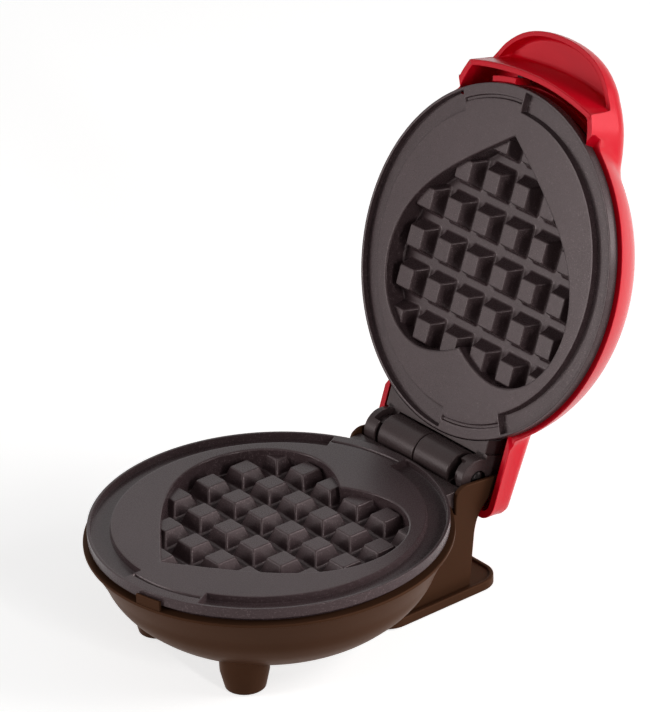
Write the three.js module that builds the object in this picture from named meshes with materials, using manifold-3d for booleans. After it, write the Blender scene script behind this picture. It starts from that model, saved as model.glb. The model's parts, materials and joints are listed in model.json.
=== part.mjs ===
// Mini waffle maker with heart-shaped moulds: a bowl-shaped base on a rear pedestal, and a domed
// lid that turns on one hinge pin behind the plates. Millimetres, +Z up, handle side towards -Y.
//
// The base and the closed lid are drawn about one datum: the centre of the lower plate, with z = 0
// on its cooking face. The last lines stand the finished machine on z = 0.
import * as THREE from "three";
import { mergeVertices } from "three/addons/utils/BufferGeometryUtils.js";
import Module from "manifold-3d";

const wasm = await Module();
wasm.setup();

const DEG = Math.PI / 180;

// Facet counts.
const ROUND = 52;
const SMALL_ROUND = 16;
const TINY_ROUND = 8;
const CURVE = 8;
const CORNER_STEPS = 3;
const CROWN_STEPS = 4;

// Clearances shared by all pieces.
const FIT = 0.3; // between pieces that are screwed or seated together
const RUN = 0.5; // between pieces that turn past each other
const CUT = 1; // overrun of every cutting solid

// Lid pose.
const OPEN_ANGLE = 110.7 * DEG;
const PLATE_GAP = 0.4; // between the two cooking faces when the lid is shut

// Cooking plate, the same casting above and below.
const PLATE = {
  margin: 4.9, // from the heart's farthest point to the channel
  channelWidth: 6.8,
  channelDepth: 2.3,
  lipWidth: 1.1,
  lipBevel: 0.6,
  lipDepth: 3.7,
  nestStep: 2.2,
  thickness: 5,
  footDepth: 6.3,
  footWidth: 1.1,
  bossWall: 2.4,
  floorWall: 2.6,
  bridgeAngle: 30 * DEG,
  markInset: 4.3,
  markWidth: 1.4,
  markDepth: 0.6,
};

// Heart mould in the plate.
const HEART = {
  tipReach: 45.1,
  cuspReach: 31.4,
  lobeReach: 37.9,
  lobeOffset: 20,
  halfWidth: 46.3,
  widestReach: 9.5,
  depth: 7.7,
};
const HEART_FLANK_SHARES = [
  [0.52, 0.31],
  [1, 0.57],
];
const HEART_CUSP_SHARE = 0.54;

// Grid of pins in the mould.
const PIN = { pitch: 14.85, topSize: 7.4, footSize: 11.6, drop: 2.2, columns: 6, rows: 6 };
const PIN_ROW_SHARE = 0.265; // of the pitch, from the heart's tip to the first row

// Lower housing.
const BOWL = {
  rimWidth: 1.8, // outside the plate's lip
  depth: 32.8,
  wall: 2.2,
};
const BOWL_SHARES = [
  [0.991, 0],
  [1, 0.022],
  [0.965, 0.155],
  [0.917, 0.335],
  [0.872, 0.52],
  [0.794, 0.702],
  [0.662, 0.885],
  [0.45, 1],
];
const BOWL_TAB = { angle: 15 * DEG, spread: 12 * DEG, inset: 0.6, height: 2.4 };

const FOOT = { x: 24.5, y: 30.9, topRadius: 8.6, lowRadius: 7, floorDrop: 43.2 };
const PAD = { radius: 5, recess: 1.2, stand: 0.6 };

// Pedestal behind the bowl, its flange and the hinge cheeks.
const PEDESTAL = {
  taper: 2.4, // of each side, from the cheeks down to the foot
  cheekWall: 1.5,
  cheekDrop: 1.7,
  cheekFront: 10.4, // ahead of the hinge axis
  cheekRear: 7.4, // behind the hinge axis
  neckRear: -1.6,
  footRear: -5,
  neckDrop: 12.4,
  bendDrop: 16.5,
  front: 26,
};
const NECK_BEND_SHARE = 0.45;
const FLANGE = {
  ledge: 1.1, // outside the cheeks
  rear: 7.8, // behind the hinge axis
  front: 24,
  corner: 9,
  thickness: 2.4,
  beadWidth: 1.4,
  beadHeight: 0.8,
};

// Hinge.
const HINGE = {
  drop: 0.76, // of the axis under the lower cooking face
  pinRadius: 1.9,
  pinDomeRadius: 2.4,
  pinDomeHeight: 0.6,
  barrelRadius: 7.3,
  barrelLength: 19,
  knuckleRadius: 7.5,
  knuckleLength: 6.6,
  armLength: 4.4,
};

// Bracket under each plate that carries its half of the hinge.
const FRAME = {
  ringThickness: 1.8,
  deckDrop: 1,
  deckDepth: 7,
  deckWidth: 0.8, // behind the plate's lip
  tongueHeight: 7.6,
  tongueGap: 0.4, // from the tongue's hollow edge to the hinge barrels
};

// Lid shell.
const DOME = { height: 24.4, wall: 2.2 };
const DOME_SHARES = [
  [1, 0],
  [0.988, 0.1],
  [0.952, 0.31],
  [0.907, 0.49],
  [0.845, 0.655],
  [0.745, 0.81],
  [0.58, 0.92],
  [0.315, 0.98],
];
const LID_TAB = { angle: -12 * DEG, spread: 10.5 * DEG, stand: 0.7, height: 3 };

const SKIRT = {
  sideGap: 1.9, // from the cheeks to the skirt's inside
  reach: 12.2, // behind the hinge axis
  rimDrop: 1.1,
  wall: 1.4,
  corner: 4.5,
  round: 8,
  frontTop: 18.2,
  rearTop: 15.2,
  front: 34,
};

// Handle: a hood over a finger recess, with an apron wall behind the recess that leans forward as it
// rises, and side walls that run on from the hood. Heights are counted from the lid's rim.
const HANDLE = {
  hoodReach: 17.9, // in front of the rim
  halfWidth: 36.6,
  topRear: 16.9,
  topFront: 14.6,
  round: 7,
  hoodUnder: 6.1,
  rimWidth: 1.9,
  roof: 4.2,
  apronReach: 3.8,
  apronCorner: 31.5,
  apronWall: 2.2,
  apronDrop: 3.4,
  apronLean: 2,
  sideWall: 1.9,
  sideRear: 7.6, // how far the low side walls end behind the rim's front
  coreStep: 1,
  rimRelief: 3.2, // of the rim inside the handle
  postRadius: 1.4,
};
const HOOD_SHARES = [
  [1, 0.4],
  [0.995, 0.57],
  [0.94, 0.694],
  [0.868, 0.772],
  [0.79, 0.83],
  [0.688, 0.892],
  [0.508, 0.953],
  [0.273, 0.989],
];
const APRON_CORNER_SHARE = 0.93;
const CROWN_SHARE_POWER = 4; // how late the hood's top falls towards its front

// Heating elements, switches and lamp.
const ELEMENT = { tubeRadius: 2.7, gapAngle: 32 * DEG };
const STAT = { radius: 8, height: 5.5, brimRadius: 9.4, brimHeight: 1.6 };
const FUSE = { radius: 2.2, length: 18, y: 22 };
const BLOCK = { width: 18, depth: 10, height: 9, y: 21, wellRadius: 2.3 };
const GLAND = { radius: 5.6, bore: 2.7, wall: 1.7, stand: 3.4, depth: 8, floorDistance: 9.5 };
const LENS = { radius: 2.6, stand: 0.7, y: 46 };
const LAMP = { radius: 2 };

// Screws.
const SCREW = { panRadius: 2.3, panHeight: 0.9, shankRadius: 1.3, length: 6, slot: 0.7 };
const POST = { radius: 3.1, depth: 14 };
const POST_ANGLES = [0, 120 * DEG, 240 * DEG];
const FOOT_SCREW = { x: 17, y: 50 };

// Worked out from the sizes above.
const discRadius = heartReach() + PLATE.margin;
const channelOuter = discRadius + PLATE.channelWidth;
const lipRadius = channelOuter + PLATE.lipWidth;
const nestRadius = lipRadius - PLATE.nestStep;
const rimRadius = lipRadius + BOWL.rimWidth;
const rimDrop = PLATE.lipDepth + FIT;
const lowerRimZ = -rimDrop;
const bowlFloorZ = lowerRimZ - BOWL.depth;
const floorZ = -FOOT.floorDrop;
const soleZ = floorZ + PAD.stand;
const upperRimZ = rimDrop + PLATE_GAP;
const domeTopZ = upperRimZ + DOME.height;
const hoodReach = rimRadius + HANDLE.hoodReach;
const apronReach = rimRadius + HANDLE.apronReach;
const apronCornerY = -APRON_CORNER_SHARE * apronReach;
const apronLowZ = upperRimZ - HANDLE.apronDrop;
const hoodUnderZ = upperRimZ + HANDLE.hoodUnder;
const ceilingZ = upperRimZ + HANDLE.topFront - HANDLE.roof;
const coreCeilingZ = ceilingZ - HANDLE.coreStep;
const reliefZ = upperRimZ + HANDLE.rimRelief;
const ringTopZ = -(PLATE.footDepth + FIT);
const ringLowZ = ringTopZ - FRAME.ringThickness;
const bossLowZ = -(HEART.depth + PLATE.floorWall);
const bossRadius = heartReach() + PLATE.bossWall;
const ringInner = bossRadius + RUN;
const postCircle = (ringInner + nestRadius) / 2;
const knuckleInner = HINGE.barrelLength + 2 * FIT + RUN;
const knuckleOuter = knuckleInner + HINGE.knuckleLength;
const cheekInner = knuckleOuter + HINGE.pinDomeHeight + 2 * FIT;
const cheekOuter = cheekInner + PEDESTAL.cheekWall;
const flangeHalf = cheekOuter + FLANGE.ledge;
const skirtHalf = cheekOuter + SKIRT.sideGap + SKIRT.wall;
const deckEdge = lipRadius + FRAME.deckWidth;
const barrelRoom = Math.max(HINGE.knuckleRadius, HINGE.barrelRadius) + FRAME.tongueGap;
const hingeY = deckEdge + barrelRoom;
const hingeZ = -HINGE.drop;
const deckTopZ = -FRAME.deckDrop;
const saddleFloorZ = hingeZ - Math.max(HINGE.knuckleRadius, HINGE.barrelRadius) - FIT;
const neckFloorZ = Math.min(saddleFloorZ, -FRAME.deckDepth) - FIT;

const COLOURS = {
  castMetal: { color: 0x4b4443, roughness: 0.55, metalness: 0.35 },
  darkPlastic: { color: 0x2e221e, roughness: 0.35, metalness: 0 },
  redPlastic: { color: 0xd81324, roughness: 0.18, metalness: 0 },
  steel: { color: 0xa9a9a6, roughness: 0.35, metalness: 0.9 },
  blackSteel: { color: 0x2a2727, roughness: 0.4, metalness: 0.6 },
  rubber: { color: 0x1c1a1a, roughness: 0.9, metalness: 0 },
  ceramic: { color: 0xe8e2d6, roughness: 0.6, metalness: 0 },
  lens: { color: 0xe9efe9, roughness: 0.15, metalness: 0 },
  bakelite: { color: 0x17120f, roughness: 0.5, metalness: 0 },
};

// Solid modelling helpers.

// A manifold-3d solid of a closed three.js geometry, turned so that its faces look outwards.
function solid(geometry) {
  const bare = geometry.clone();
  bare.deleteAttribute("normal");
  bare.deleteAttribute("uv");
  const merged = mergeVertices(bare);
  const corners = merged.index.array;
  const faces = [];
  for (let i = 0; i < corners.length; i += 3) {
    const [a, b, c] = corners.slice(i, i + 3);
    if (a !== b && b !== c && c !== a) faces.push([a, b, c]);
  }
  const build = (list) =>
    new wasm.Manifold(
      new wasm.Mesh({
        numProp: 3,
        vertProperties: merged.attributes.position.array,
        triVerts: new Uint32Array(list.flat()),
      }),
    );
  const made = build(faces);
  return made.volume() < 0 ? build(faces.map(([a, b, c]) => [a, c, b])) : made;
}

const union = (first, ...rest) => rest.reduce((sum, piece) => sum.add(piece), first);
const subtract = (first, ...rest) => rest.reduce((sum, piece) => sum.subtract(piece), first);

const largestBody = (piece) =>
  piece.decompose().reduce((a, b) => (b.volume() > a.volume() ? b : a));

// Turns a closed profile of [radius, z] points about the Z axis.
function revolve(profile, facets = ROUND) {
  const points = [...profile, profile[0]].map(([r, z]) => new THREE.Vector2(r, z));
  return solid(new THREE.LatheGeometry(points, facets).rotateX(Math.PI / 2));
}

function prismZ(shape, low, high, curve = CURVE) {
  const options = { depth: high - low, bevelEnabled: false, curveSegments: curve };
  return solid(new THREE.ExtrudeGeometry(shape, options).translate(0, 0, low));
}

// The shape is drawn in Y and Z, and the prism runs along X.
function prismXGeometry(shape, left, right, curve = CURVE) {
  const options = { depth: right - left, bevelEnabled: false, curveSegments: curve };
  const turn = new THREE.Matrix4().makeBasis(
    new THREE.Vector3(0, 1, 0),
    new THREE.Vector3(0, 0, 1),
    new THREE.Vector3(1, 0, 0),
  );
  return new THREE.ExtrudeGeometry(shape, options).applyMatrix4(turn).translate(left, 0, 0);
}

const prismX = (shape, left, right, curve) => solid(prismXGeometry(shape, left, right, curve));

function block(x0, x1, y0, y1, z0, z1) {
  const box = new THREE.BoxGeometry(x1 - x0, y1 - y0, z1 - z0);
  return solid(box.translate((x0 + x1) / 2, (y0 + y1) / 2, (z0 + z1) / 2));
}

function rodX(radius, left, right, y, z, facets = ROUND / 2) {
  const rod = new THREE.CylinderGeometry(radius, radius, right - left, facets);
  return solid(rod.rotateZ(Math.PI / 2).translate((left + right) / 2, y, z));
}

function rodZ(topRadius, lowRadius, low, high, x, y, facets = SMALL_ROUND) {
  const rod = new THREE.CylinderGeometry(topRadius, lowRadius, high - low, facets);
  return solid(rod.rotateX(Math.PI / 2).translate(x, y, (low + high) / 2));
}

function outlineShape(points) {
  return new THREE.Shape(points.map(([x, y]) => new THREE.Vector2(x, y)));
}

function annularSector(inner, outer, from, to) {
  const shape = new THREE.Shape();
  shape.absarc(0, 0, outer, from, to, false);
  shape.absarc(0, 0, inner, to, from, true);
  shape.closePath();
  return shape;
}

// A ring sector about the plate centre; angles are counted from the handle side towards +X.
function sector(inner, outer, from, to, low, high) {
  const quarter = Math.PI / 2;
  const steps = Math.max(2, Math.round((ROUND * (to - from)) / (Math.PI * 4)));
  return prismZ(annularSector(inner, outer, from - quarter, to - quarter), low, high, steps);
}

// Moves each point of an open profile or a closed outline to its left by the distance.
function offset(points, distance, closed) {
  const last = points.length - 1;
  return points.map((point, i) => {
    const before = i > 0 ? points[i - 1] : closed ? points[last] : point;
    const after = i < last ? points[i + 1] : closed ? points[0] : point;
    const along = new THREE.Vector2(after[0] - before[0], after[1] - before[1]).normalize();
    return [point[0] - along.y * distance, point[1] + along.x * distance];
  });
}

// Skins a stack of rings of [x, y, z] points with equal counts and closes both ends with fans.
function loft(rings) {
  const count = rings[0].length;
  const points = rings.flat();
  const faces = [];
  for (let k = 0; k + 1 < rings.length; k += 1) {
    for (let i = 0; i < count; i += 1) {
      const a = k * count + i;
      const b = k * count + ((i + 1) % count);
      faces.push(a, b, b + count, a, b + count, a + count);
    }
  }
  [0, rings.length - 1].forEach((k, end) => {
    const centre = points.length;
    const ring = rings[k];
    points.push([0, 1, 2].map((axis) => ring.reduce((sum, p) => sum + p[axis], 0) / count));
    for (let i = 0; i < count; i += 1) {
      const a = k * count + i;
      const b = k * count + ((i + 1) % count);
      if (end) faces.push(a, b, centre);
      else faces.push(b, a, centre);
    }
  });
  const geometry = new THREE.BufferGeometry();
  geometry.setAttribute("position", new THREE.Float32BufferAttribute(points.flat(), 3));
  geometry.setIndex(faces);
  return solid(geometry);
}

// A body with an upright wall on the outline and a rounded upper edge under the height topAt(y).
function crowned(outline, low, topAt, round, steps) {
  const ringAt = (inset, drop) =>
    offset(outline, inset, true).map(([x, y]) => [x, y, topAt(y) - drop]);
  const rings = [outline.map(([x, y]) => [x, y, low])];
  for (let k = 0; k <= steps; k += 1) {
    const turn = ((Math.PI / 2) * k) / steps;
    rings.push(ringAt(round * (1 - Math.cos(turn)), round * (1 - Math.sin(turn))));
  }
  return loft(rings);
}

function smooth(points, divisions) {
  const curve = new THREE.SplineCurve(points.map(([x, y]) => new THREE.Vector2(x, y)));
  return curve.getPoints(divisions).map((p) => [p.x, p.y]);
}

// A piece of the cooking plate and its mould.

function heartOutline() {
  const { tipReach, cuspReach, lobeReach, lobeOffset, halfWidth, widestReach } = HEART;
  const height = tipReach + widestReach;
  const [near, far] = HEART_FLANK_SHARES;
  const half = new THREE.Path();
  half.moveTo(0, -tipReach);
  half.bezierCurveTo(
    near[0] * halfWidth,
    near[1] * height - tipReach,
    far[0] * halfWidth,
    far[1] * height - tipReach,
    halfWidth,
    widestReach,
  );
  const lobeWidth = halfWidth - lobeOffset;
  const lobeHeight = lobeReach - widestReach;
  half.absellipse(lobeOffset, widestReach, lobeWidth, lobeHeight, 0, Math.PI / 2, false, 0);
  half.quadraticCurveTo(HEART_CUSP_SHARE * lobeOffset, lobeReach, 0, cuspReach);
  const right = half.getPoints(CURVE - 2).map((p) => [p.x, p.y]);
  const left = right.slice(1, -1).map(([x, y]) => [-x, y]);
  return [...right, ...left.reverse()];
}

function mouldPin(x, y) {
  const rise = HEART.depth - PIN.drop;
  const spread = (PIN.footSize - PIN.topSize) / rise;
  const height = rise + CUT;
  const foot = PIN.footSize + spread * CUT;
  const pin = new THREE.CylinderGeometry(
    PIN.topSize * Math.SQRT1_2,
    foot * Math.SQRT1_2,
    height,
    4,
  );
  const middle = -PIN.drop - height / 2;
  return solid(pin.rotateY(Math.PI / 4).rotateX(Math.PI / 2).translate(x, y, middle));
}

// The hollow of the mould: the heart with its grid of four-sided pins left standing.
function mouldHollow() {
  let hollow = prismZ(outlineShape(heartOutline()), -HEART.depth, CUT);
  const firstRow = PIN_ROW_SHARE * PIN.pitch - HEART.tipReach;
  for (let row = 0; row < PIN.rows; row += 1) {
    for (let column = 0; column < PIN.columns; column += 1) {
      const x = (column - (PIN.columns - 1) / 2) * PIN.pitch;
      hollow = hollow.subtract(mouldPin(x, firstRow + row * PIN.pitch));
    }
  }
  return largestBody(hollow);
}

function heartReach() {
  return Math.max(...heartOutline().map(([x, y]) => Math.hypot(x, y)));
}

// The cooking plate, face up, with the face at z = 0.
function cookingPlate() {
  const footInner = nestRadius - PLATE.footWidth;
  const body = revolve([
    [0, 0],
    [lipRadius - PLATE.lipBevel, 0],
    [lipRadius, -PLATE.lipBevel],
    [lipRadius, -PLATE.lipDepth],
    [nestRadius, -PLATE.lipDepth],
    [nestRadius, -PLATE.footDepth],
    [footInner, -PLATE.footDepth],
    [footInner, -PLATE.thickness],
    [bossRadius, -PLATE.thickness],
    [bossRadius, bossLowZ],
    [0, bossLowZ],
  ]);
  const markInner = channelOuter - PLATE.markInset;
  const markOuter = markInner + PLATE.markWidth;
  const bridge = PLATE.bridgeAngle;
  const cuts = [mouldHollow()];
  [0, Math.PI].forEach((start) => {
    const from = start + bridge;
    const to = start + Math.PI;
    cuts.push(
      sector(discRadius, channelOuter, from, to, -PLATE.channelDepth, CUT),
      sector(markInner, markOuter, start, start + bridge, -PLATE.markDepth, CUT),
    );
  });
  return subtract(body, ...cuts);
}

// Ring of the bracket that the plate sits on, with its screw holes, drawn for the base.
function bracketRing() {
  const ring = revolve([
    [ringInner, ringTopZ],
    [nestRadius, ringTopZ],
    [nestRadius, ringLowZ],
    [ringInner, ringLowZ],
  ]);
  const hole = SCREW.shankRadius + FIT;
  const holes = POST_ANGLES.map((angle) => {
    const [x, y] = postPlace(angle);
    return rodZ(hole, hole, ringLowZ - CUT, ringTopZ + CUT, x, y, TINY_ROUND);
  });
  return subtract(ring, ...holes);
}

function postPlace(angle) {
  return [postCircle * Math.sin(angle), -postCircle * Math.cos(angle)];
}

// Part of a body outside the round of the plate lip, so that a bracket can rise beside the plate.
function outsidePlate(body) {
  return body.subtract(rodZ(lipRadius + FIT, lipRadius + FIT, ringTopZ, CUT, 0, 0, ROUND));
}

// Base pieces.

function bowlOutline() {
  const points = BOWL_SHARES.map(([r, d]) => [r * rimRadius, lowerRimZ - d * BOWL.depth]);
  return [points[0], ...smooth(points.slice(1), CURVE)];
}

// Inner face of the bowl below the ledge that carries the bracket ring.
function bowlInside() {
  const ledge = ringLowZ - FIT;
  return offset(bowlOutline(), -BOWL.wall, false).filter(([, z], i) => z < ledge && i % 2);
}

// The hollow of the bowl: a straight nest for the plate and the ring, a ledge, then the even wall.
function bowlHollow() {
  const inner = bowlInside();
  const nest = nestRadius + FIT;
  const ledge = ringLowZ - FIT;
  return revolve([
    [0, CUT],
    [nest, CUT],
    [nest, ledge],
    [inner[0][0], ledge],
    ...inner,
    [0, inner[inner.length - 1][1]],
  ]);
}

function bowlCore() {
  return revolve([[0, bowlFloorZ], ...bowlOutline().reverse(), [0, lowerRimZ]]);
}

function screwPosts() {
  return POST_ANGLES.map((angle) => {
    const [x, y] = postPlace(angle);
    const low = ringLowZ - FIT - POST.depth;
    return rodZ(POST.radius, POST.radius, low, ringLowZ - FIT, x, y, SMALL_ROUND);
  });
}

function screwHoles() {
  const radius = SCREW.shankRadius + FIT;
  return POST_ANGLES.map((angle) => {
    const [x, y] = postPlace(angle);
    return rodZ(radius, radius, ringTopZ - SCREW.length - FIT, ringTopZ, x, y, TINY_ROUND);
  });
}

function taperAcross(geometry, topZ, lowZ, share) {
  const position = geometry.attributes.position;
  for (let i = 0; i < position.count; i += 1) {
    const depth = (topZ - position.getZ(i)) / (topZ - lowZ);
    position.setX(i, position.getX(i) * (1 - share * depth));
  }
  return geometry;
}

// The pedestal's side outline: hinge cheeks on top, a waisted rear for the wound cord, the foot.
function pedestal() {
  const top = -PEDESTAL.cheekDrop;
  const front = hingeY - PEDESTAL.cheekFront;
  const neck = hingeY + PEDESTAL.neckRear;
  const foot = hingeY + PEDESTAL.footRear;
  const bend = neck + NECK_BEND_SHARE * (foot - neck);
  const corner = PEDESTAL.cheekWall;
  const side = outlineShape([
    [PEDESTAL.front, soleZ],
    [foot, soleZ],
    [bend, -PEDESTAL.bendDrop],
    [neck, -PEDESTAL.neckDrop],
    [hingeY + PEDESTAL.cheekRear, top - corner],
    [hingeY + PEDESTAL.cheekRear, top],
    [front + corner, top],
    [front, top - corner],
    [front, neckFloorZ],
    [PEDESTAL.front, neckFloorZ],
  ]);
  const share = PEDESTAL.taper / cheekOuter;
  const prism = prismXGeometry(side, -cheekOuter, cheekOuter);
  return solid(taperAcross(prism, top, soleZ, share));
}

function roundedPlan(halfWidth, front, rear, corner) {
  const shape = new THREE.Shape();
  shape.moveTo(-halfWidth, front + corner);
  shape.absarc(corner - halfWidth, front + corner, corner, Math.PI, 1.5 * Math.PI, false);
  shape.absarc(halfWidth - corner, front + corner, corner, -Math.PI / 2, 0, false);
  shape.absarc(halfWidth - corner, rear - corner, corner, 0, Math.PI / 2, false);
  shape.absarc(corner - halfWidth, rear - corner, corner, Math.PI / 2, Math.PI, false);
  shape.closePath();
  return shape;
}

function flange() {
  const { corner, thickness, beadWidth, beadHeight } = FLANGE;
  const rear = hingeY + FLANGE.rear;
  const top = soleZ + thickness;
  const outside = roundedPlan(flangeHalf, FLANGE.front, rear, corner);
  const plate = prismZ(outside, soleZ, top + beadHeight, CORNER_STEPS);
  const inside = roundedPlan(
    flangeHalf - beadWidth,
    FLANGE.front + beadWidth,
    rear - beadWidth,
    corner - beadWidth,
  );
  return plate.subtract(prismZ(inside, top, top + beadHeight + CUT, CORNER_STEPS));
}

const padPlaces = () => {
  const rearY = hingeY + FLANGE.rear - FLANGE.corner - PAD.radius / 2;
  const rearX = flangeHalf - FLANGE.corner;
  return {
    foot_pad_front_left: [-FOOT.x, -FOOT.y],
    foot_pad_front_right: [FOOT.x, -FOOT.y],
    foot_pad_rear_left: [-rearX, rearY],
    foot_pad_rear_right: [rearX, rearY],
  };
};

const footScrewPlaces = () => ({
  foot_screw_left: [-FOOT_SCREW.x, FOOT_SCREW.y],
  foot_screw_right: [FOOT_SCREW.x, FOOT_SCREW.y],
});

// A tab that stands beside the plate's lip, between two heights, about its angle.
function tabAt({ angle, spread }, outer, low, high) {
  const inner = lipRadius + FIT;
  return sector(inner, outer, angle - spread / 2, angle + spread / 2, low, high);
}

function frontFeet() {
  const top = bowlFloorZ + BOWL.wall;
  return [-FOOT.x, FOOT.x].map((x) => {
    const stem = rodZ(FOOT.topRadius, FOOT.lowRadius, soleZ, top, x, -FOOT.y, ROUND / 2);
    const stub = rodZ(FOOT.topRadius, FOOT.topRadius, top, lowerRimZ, x, -FOOT.y, ROUND / 2);
    return union(stem, stub.intersect(bowlCore()));
  });
}

// The space between the hinge cheeks, over the neck of the pedestal and behind the plate.
function hingeSaddle() {
  const rear = hingeY + 2 * PEDESTAL.cheekRear;
  const room = block(-cheekInner, cheekInner, 0, rear, neckFloorZ, CUT);
  return room.subtract(rodZ(nestRadius, nestRadius, neckFloorZ - CUT, lowerRimZ, 0, 0, ROUND));
}

function lowerHousing() {
  const outside = union(bowlCore(), pedestal(), flange(), ...frontFeet());
  const posts = screwPosts().map((post) => post.intersect(bowlCore()));
  const tab = tabAt(BOWL_TAB, rimRadius - BOWL_TAB.inset, lowerRimZ - CUT, lowerRimZ + BOWL_TAB.height);
  const recess = PAD.radius + FIT;
  const padCuts = Object.values(padPlaces()).map(([x, y]) =>
    rodZ(recess, recess, soleZ - CUT, soleZ + PAD.recess, x, y),
  );
  const screwCuts = Object.values(footScrewPlaces()).map(([x, y]) => footScrewHole(x, y));
  return subtract(
    union(subtract(outside, bowlHollow()), ...posts, tab),
    hingeSaddle(),
    glandHole(),
    ...screwHoles(),
    ...padCuts,
    ...screwCuts,
  );
}

function lowerFrame() {
  const ring = bracketRing();
  const deckSide = cheekInner - FIT;
  const deck = block(-deckSide, deckSide, nestRadius / 2, deckEdge, -FRAME.deckDepth - FIT, deckTopZ);
  const keepClear = union(
    rodZ(ringInner, ringInner, neckFloorZ - CUT, CUT, 0, 0, ROUND),
    rodZ(lipRadius + FIT, lipRadius + FIT, ringTopZ, CUT, 0, 0, ROUND),
  );
  const saddle = block(
    -HINGE.barrelLength - FIT,
    HINGE.barrelLength + FIT,
    deckEdge - CUT,
    hingeY,
    saddleFloorZ + FIT,
    hingeZ,
  );
  const barrels = [-1, 1].map((side) => {
    const ends = [side * FIT, side * (HINGE.barrelLength + FIT)].sort((a, b) => a - b);
    return rodX(HINGE.barrelRadius, ends[0], ends[1], hingeY, hingeZ);
  });
  const bore = HINGE.pinRadius + FIT;
  const reach = HINGE.barrelLength + CUT;
  const low = block(-deckSide, deckSide, 0, deckEdge, neckFloorZ + FIT, CUT);
  return subtract(
    union(ring, deck.subtract(keepClear).intersect(low), saddle.subtract(keepClear), ...barrels),
    rodX(bore, -reach, reach, hingeY, hingeZ, SMALL_ROUND),
  );
}

function hingePin() {
  const half = knuckleOuter + FIT;
  const reach = half + HINGE.pinDomeHeight / 2;
  const shaft = rodX(HINGE.pinRadius, -reach, reach, hingeY, hingeZ, SMALL_ROUND);
  const heads = [-1, 1].map((side) => {
    const head = revolve(
      [
        [0, 0],
        [HINGE.pinDomeRadius, 0],
        [HINGE.pinDomeRadius * Math.cos(Math.PI / 6), HINGE.pinDomeHeight / 2],
        [HINGE.pinDomeRadius / 2, HINGE.pinDomeHeight],
        [0, HINGE.pinDomeHeight],
      ],
      SMALL_ROUND,
    );
    return head.rotate([0, side * 90, 0]).translate([side * half, hingeY, hingeZ]);
  });
  return union(shaft, ...heads);
}

function heatingElement() {
  const radius = bossRadius - 2 * ELEMENT.tubeRadius;
  const half = ELEMENT.gapAngle / 2;
  const path = new THREE.Curve();
  const from = Math.PI / 2 + half;
  const sweep = 2 * Math.PI - ELEMENT.gapAngle;
  path.getPoint = (t, target = new THREE.Vector3()) =>
    target.set(radius * Math.cos(from + sweep * t), radius * Math.sin(from + sweep * t), 0);
  const tube = new THREE.Shape();
  tube.absarc(0, 0, ELEMENT.tubeRadius, 0, 2 * Math.PI, false);
  const geometry = new THREE.ExtrudeGeometry(tube, {
    steps: ROUND / 2,
    extrudePath: path,
    curveSegments: TINY_ROUND / 2,
  });
  return solid(geometry.translate(0, 0, bossLowZ - FIT - ELEMENT.tubeRadius));
}

function thermostat() {
  const top = bossLowZ - FIT;
  const brimLow = top - STAT.height - STAT.brimHeight;
  return revolve(
    [
      [0, top],
      [STAT.radius, top],
      [STAT.radius, top - STAT.height],
      [STAT.brimRadius, top - STAT.height],
      [STAT.brimRadius, brimLow],
      [0, brimLow],
    ],
    SMALL_ROUND,
  );
}

function thermalFuse() {
  const z = bossLowZ - FIT - FUSE.radius;
  return rodX(FUSE.radius, -FUSE.length / 2, FUSE.length / 2, FUSE.y, z, TINY_ROUND);
}

function bowlInsideZ() {
  const inner = bowlInside();
  return inner[inner.length - 1][1];
}

function terminalBlock() {
  const low = bowlInsideZ() + FIT;
  const top = low + BLOCK.height;
  const half = BLOCK.width / 2;
  const side = BLOCK.depth / 2;
  const body = block(-half, half, BLOCK.y - side, BLOCK.y + side, low, top);
  const wells = [-1, 1].map((side) => {
    const x = (side * half) / 2;
    const floor = low + BLOCK.height / 2;
    return rodZ(BLOCK.wellRadius, BLOCK.wellRadius, floor, top + CUT, x, BLOCK.y, TINY_ROUND);
  });
  return subtract(body, ...wells);
}

const glandZ = () => floorZ + GLAND.floorDistance;

function glandRod(radius, from, to) {
  const rod = new THREE.CylinderGeometry(radius, radius, to - from, SMALL_ROUND);
  return solid(rod.translate(0, (from + to) / 2, glandZ()));
}

// The pedestal's rear face at the height of the gland's collar.
function glandSeatY() {
  const neck = hingeY + PEDESTAL.neckRear;
  const foot = hingeY + PEDESTAL.footRear;
  const bend = neck + NECK_BEND_SHARE * (foot - neck);
  const collarTop = glandZ() + GLAND.radius;
  const share = (-collarTop - PEDESTAL.bendDrop) / (-soleZ - PEDESTAL.bendDrop);
  return bend + share * (foot - bend);
}

const glandStem = GLAND.bore + GLAND.wall;

function glandHole() {
  const seat = glandSeatY();
  return glandRod(glandStem + FIT, seat - GLAND.depth - FIT, seat + CUT);
}

function cordGland() {
  const seat = glandSeatY();
  const collar = glandRod(GLAND.radius, seat + FIT, seat + GLAND.stand);
  const stem = glandRod(glandStem, seat - GLAND.depth, seat + GLAND.stand / 2);
  const bore = glandRod(GLAND.bore, seat - GLAND.depth / 2, seat + GLAND.stand + CUT);
  return union(collar, stem).subtract(bore);
}

function footPad(x, y) {
  return rodZ(PAD.radius, PAD.radius, floorZ, soleZ + PAD.recess - FIT, x, y);
}

// A slotted pan-head screw, head up, with its seat at z = 0.
function screw(length) {
  const { panRadius, panHeight, shankRadius, slot } = SCREW;
  const body = revolve(
    [
      [0, panHeight],
      [panRadius * Math.cos(Math.PI / 6), panHeight],
      [panRadius, panHeight / 2],
      [panRadius, 0],
      [shankRadius, 0],
      [shankRadius, shankRadius - length],
      [0, -length],
    ],
    TINY_ROUND,
  );
  const wide = panRadius + CUT;
  return body.subtract(block(-wide, wide, -slot / 2, slot / 2, panHeight / 2, panHeight + CUT));
}

function frameScrew(angle) {
  const [x, y] = postPlace(angle);
  return screw(SCREW.length).translate([x, y, ringTopZ + FIT / 2]);
}

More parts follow.
